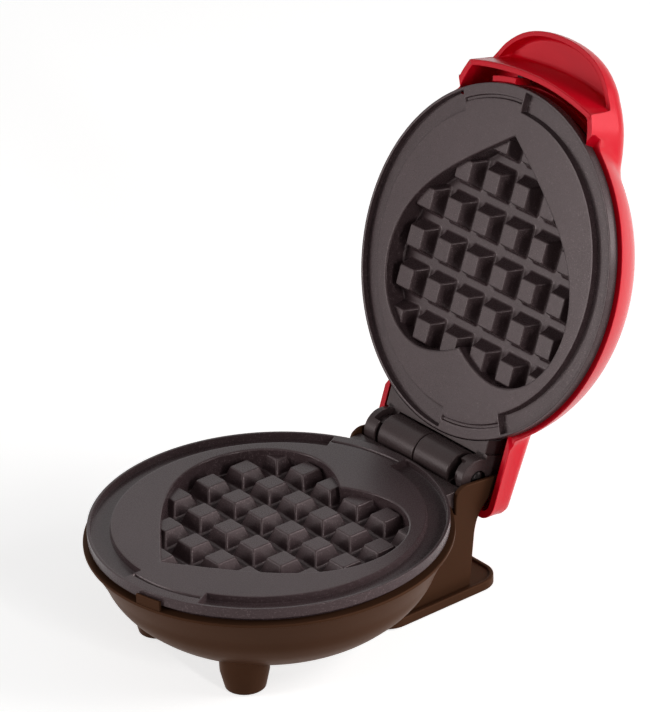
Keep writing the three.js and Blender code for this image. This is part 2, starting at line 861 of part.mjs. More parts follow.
function footScrewHole(x, y) {
  const head = SCREW.panRadius + FIT;
  const shank = SCREW.shankRadius + FIT;
  const seat = soleZ + 2 * SCREW.panHeight;
  return union(
    rodZ(head, head, soleZ - CUT, seat, x, y, TINY_ROUND),
    rodZ(shank, shank, soleZ - CUT, seat + SCREW.length + FIT, x, y, TINY_ROUND),
  );
}

function footScrew(x, y) {
  const seat = soleZ + 2 * SCREW.panHeight - FIT;
  return screw(SCREW.length).rotate([180, 0, 0]).translate([x, y, seat]);
}

// Lid pieces, drawn shut.

function domeOutline() {
  return DOME_SHARES.map(([r, h]) => [r * rimRadius, upperRimZ + h * DOME.height]);
}

function domeOuter() {
  return revolve([[0, upperRimZ], ...domeOutline(), [0, domeTopZ]]);
}

function domeInner() {
  const ledge = PLATE_GAP - ringLowZ + FIT;
  const inner = offset(domeOutline(), DOME.wall, false).filter(([, z], i) => z > ledge && i % 2);
  const nest = nestRadius + FIT;
  return revolve([
    [0, upperRimZ - CUT],
    [nest, upperRimZ - CUT],
    [nest, ledge],
    [inner[0][0], ledge],
    ...inner,
    [0, domeTopZ - DOME.wall],
  ]);
}

function skirtBody(inset, low) {
  const rear = hingeY + SKIRT.reach - inset;
  const plan = roundedPlan(skirtHalf - inset, SKIRT.front, rear, SKIRT.corner - inset);
  const outline = plan.getPoints(CORNER_STEPS).map((p) => [p.x, p.y]).slice(0, -1);
  const unique = outline.filter(([x, y], i) => {
    const [u, v] = outline[(i + 1) % outline.length];
    return Math.hypot(u - x, v - y) > FIT / 10;
  });
  const length = rear - SKIRT.front;
  const topAt = (y) => {
    const share = (y - SKIRT.front) / length;
    return PLATE_GAP - inset + SKIRT.frontTop + share * (SKIRT.rearTop - SKIRT.frontTop);
  };
  return crowned(unique, low, topAt, SKIRT.round - inset, CROWN_STEPS);
}

function hoodPlan(inset) {
  const half = HOOD_SHARES.map(([x, y]) => [-x * HANDLE.halfWidth, -y * hoodReach]);
  const around = [...half, [0, -hoodReach], ...half.map(([x, y]) => [-x, y]).reverse()];
  return offset(smooth(around, 4 * CURVE), inset, true);
}

// The apron's front edge at its foot, an arc from corner to corner, moved back by the inset.
function apronArc(inset) {
  const corner = HANDLE.apronCorner;
  const sag = apronReach + apronCornerY;
  const radius = (corner ** 2 + sag ** 2) / (2 * sag);
  const swing = Math.asin(corner / radius);
  const points = [];
  for (let k = -CURVE; k <= CURVE; k += 1) {
    const turn = (swing * k) / CURVE;
    points.push([radius * Math.sin(turn), inset - apronReach + radius * (1 - Math.cos(turn))]);
  }
  return points;
}

// All that lies behind the apron's leaning front face when the face is moved back by the inset.
function behindApron(inset) {
  const low = apronLowZ - 2 * CUT;
  const lean = (HANDLE.apronLean * (domeTopZ - low)) / (ceilingZ - apronLowZ);
  const wide = HANDLE.halfWidth + CUT;
  const side = apronCornerY + inset;
  const ringAt = (z, forward) => [
    ...apronArc(inset).map(([x, y]) => [x, y - forward, z]),
    [wide, side - forward, z],
    [wide, 0, z],
    [-wide, 0, z],
    [-wide, side - forward, z],
  ];
  return loft([ringAt(low, 0), ringAt(domeTopZ, lean)]);
}

function handleTop(y) {
  const fall = HANDLE.topRear - HANDLE.topFront;
  return upperRimZ + HANDLE.topRear - fall * (-y / hoodReach) ** CROWN_SHARE_POWER;
}

// The space for the fingers: all in front of the apron under the hood's rim, and the hood's recess.
function fingerSpace() {
  const wide = HANDLE.halfWidth + CUT;
  const below = block(-wide, wide, -hoodReach - CUT, apronCornerY, apronLowZ - CUT, hoodUnderZ);
  const recess = prismZ(outlineShape(hoodPlan(HANDLE.rimWidth)), apronLowZ - CUT, ceilingZ);
  const rear = block(-wide, wide, apronCornerY, rimRadius, apronLowZ - 2 * CUT, domeTopZ);
  return subtract(union(below, recess), behindApron(0), rear);
}

// The hollow behind the apron, open below, where the rim of the lid is cut back.
function handleHollow() {
  const wide = HANDLE.halfWidth + CUT;
  const rear = HANDLE.sideRear - rimRadius;
  const inside = prismZ(outlineShape(hoodPlan(HANDLE.sideWall)), apronLowZ - CUT, coreCeilingZ);
  const front = block(-wide, wide, -hoodReach, rear, apronLowZ - 2 * CUT, domeTopZ);
  const room = inside.intersect(behindApron(HANDLE.apronWall)).intersect(front);
  const cutBack = rodZ(rimRadius + CUT, rimRadius + CUT, apronLowZ, reliefZ, 0, 0, ROUND);
  return room.subtract(domeOuter().subtract(cutBack));
}

function handleBody() {
  const wide = HANDLE.halfWidth + CUT;
  const rear = HANDLE.sideRear - rimRadius;
  const full = crowned(hoodPlan(0), apronLowZ, handleTop, HANDLE.round, CROWN_STEPS);
  return full.subtract(block(-wide, wide, rear, 0, apronLowZ - CUT, upperRimZ));
}

function lidShell() {
  const skirtLow = upperRimZ - SKIRT.rimDrop;
  const posts = screwPosts().map((post) => turnOver(post).intersect(domeOuter()));
  const tab = tabAt(LID_TAB, rimRadius + LID_TAB.stand, upperRimZ - LID_TAB.height, reliefZ + CUT);
  const plateRoom = rodZ(lipRadius + FIT, lipRadius + FIT, apronLowZ - CUT, upperRimZ, 0, 0, ROUND);
  const outer = union(domeOuter(), skirtBody(0, skirtLow), handleBody());
  const cavity = union(domeInner(), skirtBody(SKIRT.wall, skirtLow - CUT), plateRoom);
  const shell = subtract(
    union(subtract(outer, cavity, fingerSpace(), handleHollow()), tab, ...posts),
    lensHole(),
    handlePostHole(),
    ...screwHoles().map(turnOver),
  );
  return largestBody(shell);
}

// Turns a base piece over about the Y axis and lifts it to its place in the shut lid.
function turnOver(piece) {
  return piece.rotate([0, 180, 0]).translate([0, 0, PLATE_GAP]);
}

// The tongue behind the upper plate; its rear edge is hollowed round the hinge barrels.
function tongue() {
  const top = PLATE_GAP + FRAME.tongueHeight;
  const low = PLATE_GAP + FIT;
  const bar = block(-cheekInner, cheekInner, nestRadius / 2, hingeY, low, top);
  const core = rodZ(ringInner, ringInner, -CUT, top + CUT, 0, 0, ROUND);
  const plateRoom = rodZ(lipRadius + FIT, lipRadius + FIT, ringTopZ, CUT, 0, 0, ROUND);
  const reach = cheekInner + CUT;
  return subtract(bar, core, turnOver(plateRoom), rodX(barrelRoom, -reach, reach, hingeY, hingeZ));
}

function upperFrame() {
  const knuckles = [-1, 1].map((way) => {
    const ends = [way * knuckleInner, way * knuckleOuter].sort((a, b) => a - b);
    const barrel = rodX(HINGE.knuckleRadius, ends[0], ends[1], hingeY, hingeZ);
    const armInner = knuckleOuter - HINGE.armLength;
    const armEnds = [way * armInner, way * knuckleOuter].sort((a, b) => a - b);
    const armTop = PLATE_GAP + FRAME.tongueHeight;
    const arm = block(armEnds[0], armEnds[1], deckEdge - CUT, hingeY, PLATE_GAP + FIT, armTop);
    return union(barrel, arm);
  });
  const bore = HINGE.pinRadius + FIT;
  const reach = knuckleOuter + CUT;
  return subtract(
    union(turnOver(bracketRing()), tongue(), ...knuckles),
    rodX(bore, -reach, reach, hingeY, hingeZ, SMALL_ROUND),
  );
}

function lensHole() {
  const radius = LENS.radius + FIT;
  return rodZ(radius, radius, upperRimZ + DOME.height / 2, domeTopZ + CUT, 0, -LENS.y);
}

function domeHeightAt(radius) {
  const profile = domeOutline();
  const k = profile.findIndex(([r]) => r < radius);
  const [r0, z0] = profile[k - 1];
  const [r1, z1] = profile[k];
  return z0 + ((radius - r0) / (r1 - r0)) * (z1 - z0);
}

const lensSeatZ = () => Math.max(domeHeightAt(LENS.y), handleTop(-LENS.y));

function indicatorLens() {
  const low = lensSeatZ() - DOME.wall;
  return rodZ(LENS.radius, LENS.radius, low, lensSeatZ() + LENS.stand, 0, -LENS.y);
}

// The lamp fills the height between the upper element and the lens.
function indicatorLamp() {
  const elementTop = PLATE_GAP - bossLowZ + FIT + 2 * ELEMENT.tubeRadius;
  const top = lensSeatZ() - DOME.wall - FIT;
  return rodZ(LAMP.radius, LAMP.radius, elementTop + FIT, top, 0, -LENS.y, TINY_ROUND);
}

// The post that stands in the handle's hollow, midway between the rim and the apron's foot.
const handlePostPlace = () => {
  const radius = rimRadius + (HANDLE.apronReach - HANDLE.apronWall) / 2;
  return [radius * Math.sin(LID_TAB.angle), -radius * Math.cos(LID_TAB.angle)];
};

function handlePostRod(radius, low, high) {
  const [x, y] = handlePostPlace();
  return rodZ(radius, radius, low, high, x, y, TINY_ROUND);
}

const handlePostHole = () =>
  handlePostRod(HANDLE.postRadius + FIT, coreCeilingZ - CUT, coreCeilingZ + HANDLE.postRadius + FIT);

const handlePost = () =>
  handlePostRod(HANDLE.postRadius, reliefZ + CUT + FIT, coreCeilingZ + HANDLE.postRadius);

// Scene graph.

function mesh(name, piece, look) {
  const made = piece.getMesh();
  const geometry = new THREE.BufferGeometry();
  const position = new Float32Array(made.numVert * 3);
  for (let i = 0; i < made.numVert; i += 1) {
    const from = i * made.numProp;
    position.set(made.vertProperties.subarray(from, from + 3), i * 3);
  }
  geometry.setAttribute("position", new THREE.BufferAttribute(position, 3));
  geometry.setIndex(new THREE.BufferAttribute(made.triVerts, 1));
  const flat = geometry.toNonIndexed();
  flat.computeVertexNormals();
  const node = new THREE.Mesh(flat, new THREE.MeshStandardMaterial(COLOURS[look]));
  node.name = name;
  return node;
}

const base = new THREE.Group();
base.name = "base";
base.add(
  mesh("lower_housing", lowerHousing(), "darkPlastic"),
  mesh("lower_frame", lowerFrame(), "castMetal"),
  mesh("lower_plate", cookingPlate(), "castMetal"),
  mesh("lower_element", heatingElement(), "steel"),
  mesh("thermostat", thermostat(), "bakelite"),
  mesh("terminal_block", terminalBlock(), "ceramic"),
  mesh("cord_gland", cordGland(), "rubber"),
  mesh("hinge_pin", hingePin(), "blackSteel"),
);
Object.entries(padPlaces()).forEach(([name, [x, y]]) => {
  base.add(mesh(name, footPad(x, y), "rubber"));
});
Object.entries(footScrewPlaces()).forEach(([name, [x, y]]) => {
  base.add(mesh(name, footScrew(x, y), "steel"));
});
POST_ANGLES.forEach((angle, i) => {
  base.add(mesh("lower_frame_screw_" + (i + 1), frameScrew(angle), "steel"));
});

// The lid group turns about the hinge axis; its pieces are drawn shut.
const lid = new THREE.Group();
lid.name = "lid";
lid.position.set(0, hingeY, hingeZ);
lid.rotation.x = -OPEN_ANGLE;
const shut = new THREE.Group();
shut.position.set(0, -hingeY, -hingeZ);
lid.add(shut);
shut.add(
  mesh("lid_shell", lidShell(), "redPlastic"),
  mesh("upper_frame", upperFrame(), "castMetal"),
  mesh("upper_plate", turnOver(cookingPlate()), "castMetal"),
  mesh("upper_element", turnOver(heatingElement()), "steel"),
  mesh("thermal_fuse", turnOver(thermalFuse()), "ceramic"),
  mesh("indicator_lens", indicatorLens(), "lens"),
  mesh("indicator_lamp", indicatorLamp(), "lens"),
  mesh("handle_post", handlePost(), "blackSteel"),
);
POST_ANGLES.forEach((angle, i) => {
  shut.add(mesh("upper_frame_screw_" + (i + 1), turnOver(frameScrew(angle)), "steel"));
});

// The finished machine stands on z = 0 with its box centred on the origin.
const machine = new THREE.Group();
machine.add(base, lid);
machine.updateMatrixWorld(true);
const box = new THREE.Box3().setFromObject(machine, true);
const centre = box.getCenter(new THREE.Vector3());
machine.position.set(-centre.x, -centre.y, -box.min.z);
const root = new THREE.Group();
root.name = "mini_waffle_maker";
root.add(machine);

export default root;
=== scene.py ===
"""Looks of a mini waffle maker with heart-shaped moulds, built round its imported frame.

Pieces are drawn in millimetres about one datum, the centre of the lower plate's cooking face, with the
lid shut. Y runs to the hinge and Z up. A turn about Z starts at the handle's middle, on -Y. The last
step of each piece puts it in the frame's metres and opens the lid pieces.
"""
import json
import math

import bmesh
import bpy
import numpy as np
from mathutils import Matrix, Vector


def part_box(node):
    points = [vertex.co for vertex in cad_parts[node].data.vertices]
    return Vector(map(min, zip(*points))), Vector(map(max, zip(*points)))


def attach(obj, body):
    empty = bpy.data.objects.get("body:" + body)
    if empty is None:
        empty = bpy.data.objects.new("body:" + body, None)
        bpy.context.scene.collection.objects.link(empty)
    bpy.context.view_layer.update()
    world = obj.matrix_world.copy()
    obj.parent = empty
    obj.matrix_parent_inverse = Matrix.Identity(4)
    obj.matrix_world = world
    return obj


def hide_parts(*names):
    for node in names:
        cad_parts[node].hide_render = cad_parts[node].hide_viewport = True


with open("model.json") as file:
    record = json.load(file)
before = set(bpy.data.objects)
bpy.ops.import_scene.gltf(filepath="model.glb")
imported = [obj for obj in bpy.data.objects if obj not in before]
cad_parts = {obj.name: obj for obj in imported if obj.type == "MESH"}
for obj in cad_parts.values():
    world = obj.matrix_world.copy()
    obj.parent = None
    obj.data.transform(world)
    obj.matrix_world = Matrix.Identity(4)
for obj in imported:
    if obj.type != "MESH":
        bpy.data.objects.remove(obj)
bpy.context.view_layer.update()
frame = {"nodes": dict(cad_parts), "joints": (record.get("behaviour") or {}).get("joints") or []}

MM = 0.001
TAU = 2 * math.pi
QUARTER = math.pi / 2
TINY = 1e-6

# Places taken from the frame.
plate_low, plate_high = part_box("lower_plate")
DATUM = Vector(((plate_low.x + plate_high.x) / 2, (plate_low.y + plate_high.y) / 2, plate_high.z))
LIP_RADIUS = (plate_high.x - plate_low.x) / 2 / MM
FLOOR_Z = -DATUM.z / MM
HINGE = frame["joints"][0]
HINGE_AT = Vector(HINGE["pos_m"])
HINGE_Y = (HINGE_AT.y - DATUM.y) / MM
HINGE_Z = (HINGE_AT.z - DATUM.z) / MM
OPEN_ANGLE = math.radians(HINGE["range_deg"][1])
LID_TURN = (
    Matrix.Translation(HINGE_AT) @ Matrix.Rotation(-OPEN_ANGLE, 4, "X") @ Matrix.Translation(-HINGE_AT)
)

# Plates and rims, in millimetres as all sizes are.
PLATE_GAP = 0.4
PLATE_ROOM = LIP_RADIUS + 0.3
RIM_RADIUS = 63.5
RIM_DROP = 4.0
UPPER_RIM_Z = RIM_DROP + PLATE_GAP
DISC_RADIUS = 53.8
NEST_RADIUS = LIP_RADIUS - 2.2
LID_NEST = NEST_RADIUS + 0.3

# Lid: dome, wall and inner ledges.
DOME_HEIGHT = 24.4
DOME_WALL = 2.2
LEDGE_Z = 9.1
WALL_TOP_Z = 12.0
OUTER_FILLET = 2.2
INNER_FILLET = 1.0

# Lid: handle hood, its rim and its hollow.
HOOD_REACH = 81.4
HOOD_HALF = 36.6
HOOD_RIM = 1.9
HOOD_UNDER_Z = 10.5
HANDLE_TOP_REAR = 16.9
HANDLE_TOP_FRONT = 14.6
HANDLE_ROUND = 7.0
HANDLE_WALL = 2.4
HANDLE_END = math.atan2(34.7, 55.9)
HANDLE_RAMP = math.radians(1.0)
CEILING_Z = 14.8
ROOF_RAMP = 2.5
CORE_Z = 13.8
RELIEF_Z = 7.6

# Lid: the apron wall across the handle.
APRON_REACH = 67.3
APRON_CORNER = 31.5
APRON_CORNER_Y = -62.6
APRON_LOW_Z = 1.0
APRON_LEAN = 2.0
APRON_SKEW = 0.9
APRON_SKEW_END = math.radians(26.7)
APRON_WALL = 2.2

# Lid: rear skirt.
SKIRT_HALF = 32.7
SKIRT_FRONT = 34.0
SKIRT_REAR = HINGE_Y + 12.2
SKIRT_CORNER = 4.5
SKIRT_ROUND = 8.0
SKIRT_WALL = 1.4
SKIRT_RIM_DROP = 1.1
SKIRT_RIM_RAMP = 0.8
SKIRT_FRONT_TOP = 18.2
SKIRT_REAR_TOP = 15.2
SKIRT_TURN = math.radians(130)

# Lid: indicator lens, and the tab with the post in it.
LENS_Y = 46.0
LENS_RADIUS = 2.6
LENS_BORE = 2.9
LID_TAB_TURN = math.radians(-12)
TAB_EDGE = 0.4
POST_RADIUS = 1.4

# Housing.
BOWL_DEPTH = 32.8
BOWL_TOP_Z = -RIM_DROP - 1.2
BEAD_RADIUS = RIM_RADIUS - 0.15
UNDER_BEAD_SLOPE = -0.32
FOOT_LOW_Z = FLOOR_Z + 0.6
FOOT_X = 24.5
FOOT_Y = -30.9
PAD_RADIUS = 5.0
CHEEK_INNER = 27.9
CHEEK_OUTER = 29.4
CHEEK_DROP = 1.7
CHEEK_FRONT_Z = 0.9
CHEEK_REAR_Z = -0.5
CHEEK_FRONT_Y = HINGE_Y - 7.9
CHEEK_RUN = 15.3
CHEEK_SPREAD = 2.4
PEDESTAL_FRONT = HINGE_Y - 12.0
PEDESTAL_REAR = HINGE_Y + 7.4
FLANGE_HALF = 30.5
FLANGE_FRONT = 24
FLANGE_REAR = HINGE_Y + 7.8
FLANGE_CORNER = 9
FLANGE_THICK = 2.4
FLANGE_BEAD = 0.8
SADDLE_KEEP = 59.5
GLAND_Z = FLOOR_Z + 9.5
GLAND_BORE = 4.7

# Hinge and brackets.
DECK_EDGE = LIP_RADIUS + 0.8
BRACKET_FRONT = 40
RING_INNER = 56.7
BARREL_RADIUS = 7.3
BARREL_ROOM = 7.9
BARREL_ENDS = {"hinge_barrel_left": (-19.3, -0.22), "hinge_barrel_right": (0.22, 18.5)}
SEAT_HALF = 19.3
KNUCKLE_RADIUS = 7.5
KNUCKLE_INNER = 20.1
KNUCKLE_OUTER = 26.7
KNUCKLE_DISC = 2.8
POCKET_RADIUS = 5.4
POCKET_OUTER = 9.5
TONGUE_HEIGHT = 7.6
TONGUE_RIGHT = 25.4
TONGUE_LOW_Z = PLATE_GAP + 0.3
TONGUE_TOP_Z = PLATE_GAP + TONGUE_HEIGHT
PIN_HEAD_RADIUS = 3.3
PIN_HEAD_HIGH = 1.1

# Meshing.
WELD = 2e-6
SHARP_ANGLE = 50
MERGED_SHARP_ANGLE = 42
NORMAL_WEIGHT = 60
MOST_CUT = 0.48
RAY_SQUASH = 2.6
RAY_LENGTH = 130.0
RAY_HALVINGS = 22


# Mesh helpers.


def add_object(name, data):
    made = bpy.data.objects.new(name, data)
    bpy.context.scene.collection.objects.link(made)
    return made


def place(points, body):
    """Puts points from the datum's millimetres into the frame, at rest."""
    turn = LID_TURN if body == "lid" else Matrix.Identity(4)
    return [turn @ (DATUM + Vector(p) * MM) for p in points]


def piece(name, solid, body, material, replaces=(), weighted=True):
    """Makes one closed, smooth-shaded piece from (points, faces), which rides on a body."""
    points, faces = solid
    mesh = bpy.data.meshes.new(name)
    mesh.from_pydata(place(points, body), [], faces)
    work = bmesh.new()
    work.from_mesh(mesh)
    bmesh.ops.remove_doubles(work, verts=work.verts, dist=WELD)
    bmesh.ops.dissolve_degenerate(work, dist=TINY, edges=work.edges)
    bmesh.ops.recalc_face_normals(work, faces=work.faces)
    work.to_mesh(mesh)
    work.free()
    shade(mesh, SHARP_ANGLE)
    made = add_object(name, mesh)
    mesh.materials.append(material)
    if weighted:
        weigh_normals(made)
    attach(made, body)
    if replaces:
        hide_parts(*replaces)
    return made


def blank(name, solid, body, material):
    """A piece that is still to be cut or joined."""
    return piece(name, solid, body, material, weighted=False)


def weigh_normals(obj):
    """Leaves large faces flat in their shading, so that only the rounded edges between them turn."""
    normals = obj.modifiers.new("normals", "WEIGHTED_NORMAL")
    normals.keep_sharp = True
    normals.weight = NORMAL_WEIGHT


def shade(mesh, sharp):
    """Smooth faces, with the edges over an angle, in degrees, kept sharp."""
    work = bmesh.new()
    work.from_mesh(mesh)
    limit = math.radians(sharp)
    for edge in work.edges:
        edge.smooth = len(edge.link_faces) == 2 and edge.calc_face_angle(0) < limit
    for face in work.faces:
        face.smooth = True
    work.to_mesh(mesh)
    work.free()


def merge(target, tool, operation="UNION"):
    """Joins a second solid to the first, or cuts it away, and leaves one clean mesh."""
    modifier = target.modifiers.new("merge", "BOOLEAN")
    modifier.operation = operation
    modifier.solver = "EXACT"
    modifier.object = tool
    graph = bpy.context.evaluated_depsgraph_get()
    mesh = bpy.data.meshes.new_from_object(target.evaluated_get(graph))
    old = target.data
    target.modifiers.clear()
    target.data = mesh
    bpy.data.meshes.remove(old)
    spent = tool.data
    bpy.data.objects.remove(tool)
    bpy.data.meshes.remove(spent)
    shade(mesh, MERGED_SHARP_ANGLE)


def skin(sections):
    """Points and quads through sections with equal counts of points, the last joined to the first."""
    count, total = len(sections[0]), len(sections)
    faces = []
    for k in range(total):
        a, b = k * count, ((k + 1) % total) * count
        for i in range(count - 1):
            faces.append((a + i, b + i, b + i + 1, a + i + 1))
    return [p for section in sections for p in section], faces


def ring_quads(first, count, rings):
    """Quads between closed rings that follow each other in the list of points."""
    faces = []
    for k in range(rings - 1):
        for i in range(count):
            a, b = first + k * count + i, first + k * count + (i + 1) % count
            faces.append((a, b, b + count, a + count))
    return faces


def loft(rings):
    """Points and faces through closed rings with equal counts, ended by flat faces."""
    count = len(rings[0])
    faces = ring_quads(0, count, len(rings))
    faces.append(tuple(range(count))[::-1])
    faces.append(tuple(range((len(rings) - 1) * count, len(rings) * count)))
    return [p for ring in rings for p in ring], faces


def round_corner(before, at, after, reach, steps):
    """Points round a corner between two others. The rounding takes its reach from both sides."""
    here = Vector(at)
    one, two = Vector(before) - here, Vector(after) - here
    cut = min(reach, one.length * MOST_CUT, two.length * MOST_CUT)
    start, end = here + one.normalized() * cut, here + two.normalized() * cut
    shares = [k / steps for k in range(steps + 1)]
    return [tuple(start * (1 - t) ** 2 + here * 2 * t * (1 - t) + end * t * t) for t in shares]


def rounded(corners, steps, closed=False):
    """A line or closed outline with its corners, each (place, reach of its rounding), rounded.

    In a line, a reach of 0 repeats its corner, so that it gives as many points as a rounding does.
    Below 0 it gives one point, as an end does.
    """
    out = []
    count = len(corners)
    for i, (at, reach) in enumerate(corners):
        is_end = not closed and i in (0, count - 1)
        if reach > 0 and not is_end:
            out.extend(round_corner(corners[i - 1][0], at, corners[(i + 1) % count][0], reach, steps))
        else:
            out.extend([tuple(Vector(at))] * (1 if closed or is_end or reach < 0 else steps + 1))
    return out


def spun(corners, facets, steps, spot):
    """A rounded profile turned full circle. spot(a, b, cosine, sine) gives a profile point's place."""
    profile = rounded(corners, steps)
    turns = [TAU * k / facets for k in range(facets)]
    return skin([[spot(a, b, math.cos(t), math.sin(t)) for a, b in profile] for t in turns])


def lathe(corners, facets, steps):
    """Points and faces of a profile of ((radius, z), rounding) corners turned about Z."""
    return spun(corners, facets, steps, lambda r, z, c, s: (r * s, -r * c, z))


def rod_z(radius, low, top, facets, at=(0, 0), edge=0.01):
    """A rod along Z with rounded edges."""
    corners = [((0, low), 0), ((radius, low), edge), ((radius, top), edge), ((0, top), 0)]
    return spun(corners, facets, 4, lambda r, z, c, s: (at[0] + r * c, at[1] + r * s, z))


def on_hinge(corners, facets, steps):
    """A profile of ((x, radius), rounding) corners turned about the hinge's axis."""
    return spun(corners, facets, steps, lambda x, r, c, s: (x, HINGE_Y + r * c, HINGE_Z + r * s))


def ring_of(halfx, front, rear, corner, z, steps):
    """A rounded rectangle in plan, as one ring of points, anticlockwise from above."""
    ring = []
    right, back, fore = halfx - corner, rear - corner, front + corner
    middles = [(right, back), (corner - halfx, back), (corner - halfx, fore), (right, fore)]
    for quarter, (cx, cy) in enumerate(middles):
        for k in range(steps + 1):
            turn = QUARTER * (quarter + k / steps)
            ring.append((cx + corner * math.cos(turn), cy + corner * math.sin(turn), z))
    return ring


def sector_block(inner, outer, angle, spread, low, top):
    """A block between two radii about an angle, with rounded edges."""
    rings = []
    bends = (0, 0.5, 1.0, QUARTER)
    steps = [(TAB_EDGE * (1 - math.sin(b)), TAB_EDGE * (1 - math.cos(b))) for b in bends]
    levels = [(i, low + d) for i, d in steps] + [(i, top - d) for i, d in steps[::-1]]
    for shrink, z in levels:
        half = spread / 2 - shrink / outer
        arc = [angle - half + 2 * half * k / 16 for k in range(17)]
        ways = [(outer - shrink, arc), (inner + shrink, arc[::-1])]
        rings.append([(r * math.sin(a), -r * math.cos(a), z) for r, turns in ways for a in turns])
    return loft(rings)


def extrude_x(corners, corner_steps, left, right, edge, steps=3):
    """A closed, anticlockwise outline of ((y, z), rounding) drawn out along X with rounded edges."""
    outline = rounded(corners, corner_steps, closed=True)
    bends = [QUARTER * k / steps for k in range(steps + 1)]
    eased = [(edge * (1 - math.cos(b)), edge * (1 - math.sin(b))) for b in bends]
    marks = [(left + along, shrink) for along, shrink in eased]
    marks += [(right - along, shrink) for along, shrink in eased[::-1]]
    rings = []
    for x, shrink in marks:
        ring = inset(outline, shrink) if shrink > TINY else outline
        rings.append([(x, y, z) for y, z in ring])
    return loft(rings)


def inset(outline, distance):
    """Moves a closed anticlockwise outline inwards, with mitred corners."""
    out = []
    count = len(outline)
    for i, at in enumerate(outline):
        here = Vector(at)
        one = (here - Vector(outline[i - 1])).normalized()
        two = (Vector(outline[(i + 1) % count]) - here).normalized()
        normal = Vector((-(one.y + two.y), one.x + two.x))
        normal.normalize()
        stretch = max(0.45, normal.dot(Vector((-one.y, one.x))))
        out.append(tuple(here + normal * (distance / stretch)))
    return out


def join(*parts):
    """Several (points, faces) as one."""
    points, faces = [], []
    for more_points, more_faces in parts:
        base = len(points)
        points.extend(more_points)
        faces.extend(tuple(i + base for i in face) for face in more_faces)
    return points, faces


def shifted(made, x, y):
    points, faces = made
    return [(px + x, py + y, pz) for px, py, pz in points], faces


def laid_back(made, y, z):
    """A turned piece with its axis laid along Y, through a height."""
    points, faces = made
    return [(px, y + pz, z + py) for px, py, pz in points], faces


def turned_over(points):
    """Points of a base piece, turned over about Y and lifted to their place in the shut lid."""
    return [(-x, y, PLATE_GAP - z) for x, y, z in points]


# Materials. Noise scales are per metre.

SPECK_SCALE = 1900
CLOUD_SCALE = 60
FLOW_SCALE = 25
SKIN_SCALE = 900
GRAIN_SCALE = 700
SKIN_HEIGHT = 0.0001
SPECK_HEIGHT = 0.00012


def new_material(name):
    material = bpy.data.materials.new(name)
    material.use_nodes = True
    tree = material.node_tree
    return material, tree, tree.nodes["Principled BSDF"].inputs


def noise(tree, scale, detail):
    """A noise pattern that is fixed to the object."""
    made = tree.nodes.new("ShaderNodeTexNoise")
    made.inputs["Scale"].default_value = scale
    made.inputs["Detail"].default_value = detail
    coords = tree.nodes.new("ShaderNodeTexCoord")
    tree.links.new(coords.outputs["Object"], made.inputs["Vector"])
    return made.outputs["Fac"]


def ramp(tree, pattern, socket, *stops):
    """Leads a pattern to a socket through stops, each (value, colour or level of grey)."""
    made = tree.nodes.new("ShaderNodeValToRGB")
    tree.links.new(pattern, made.inputs["Fac"])
    while len(made.color_ramp.elements) < len(stops):
        made.color_ramp.elements.new(0.5)
    for element, (at, colour) in zip(made.color_ramp.elements, stops):
        element.position = at
        element.color = (*(colour if isinstance(colour, tuple) else [colour] * 3), 1)
    tree.links.new(made.outputs["Color"], socket)


def bump(tree, pattern, shader, strength, distance):
    made = tree.nodes.new("ShaderNodeBump")
    made.inputs["Strength"].default_value = strength
    made.inputs["Distance"].default_value = distance
    tree.links.new(pattern, made.inputs["Height"])
    tree.links.new(made.outputs["Normal"], shader["Normal"])


def speckled_coating(name, dark, light, roughness, shine):
    """Non-stick coating: a dark coat with fine light specks and an orange-peel skin."""
    material, tree, shader = new_material(name)
    fine = noise(tree, SPECK_SCALE, 1.5)
    mix = tree.nodes.new("ShaderNodeMix")
    mix.data_type = "RGBA"
    mix.blend_type = "MULTIPLY"
    mix.inputs["Factor"].default_value = 1
    ramp(tree, fine, mix.inputs["A"], (0.3, dark), (0.52, dark), (0.72, light))
    ramp(tree, noise(tree, CLOUD_SCALE, 3), mix.inputs["B"], (0.3, 0.86), (0.7, 1.0))
    tree.links.new(mix.outputs["Result"], shader["Base Color"])
    ramp(tree, fine, shader["Roughness"], (0.35, roughness + 0.05), (0.7, roughness - 0.1))
    shader["Specular IOR Level"].default_value = shine
    shader["Specular Tint"].default_value = (1.0, 0.84, 0.84, 1)
    bump(tree, fine, shader, 0.2, SPECK_HEIGHT)
    return material


def moulded_plastic(name, colour, roughness, grain=0.02, tint=(1, 1, 1), shine=0.5, flake=0.0):
    """Injection-moulded plastic with a faint flow variation and skin, and a share of metal flake."""
    material, tree, shader = new_material(name)
    flow = noise(tree, FLOW_SCALE, 3)
    ramp(tree, flow, shader["Base Color"], (0.35, tuple(0.92 * c for c in colour)), (0.65, colour))
    fine = noise(tree, SKIN_SCALE, 2)
    ramp(tree, fine, shader["Roughness"], (0.3, roughness * 0.96), (0.7, roughness * 1.04))
    shader["Metallic"].default_value = flake
    shader["Specular IOR Level"].default_value = shine
    shader["Specular Tint"].default_value = (*tint, 1)
    bump(tree, fine, shader, grain, SKIN_HEIGHT)
    return material


def bare_metal(name, colour, roughness):
    material, tree, shader = new_material(name)
    grain = noise(tree, GRAIN_SCALE, 4)
    ramp(tree, grain, shader["Base Color"], (0.3, tuple(0.85 * c for c in colour)), (0.7, colour))
    ramp(tree, grain, shader["Roughness"], (0.3, roughness * 1.2), (0.7, roughness * 0.8))
    shader["Metallic"].default_value = 1
    bump(tree, grain, shader, 0.1, SKIN_HEIGHT)
    return material


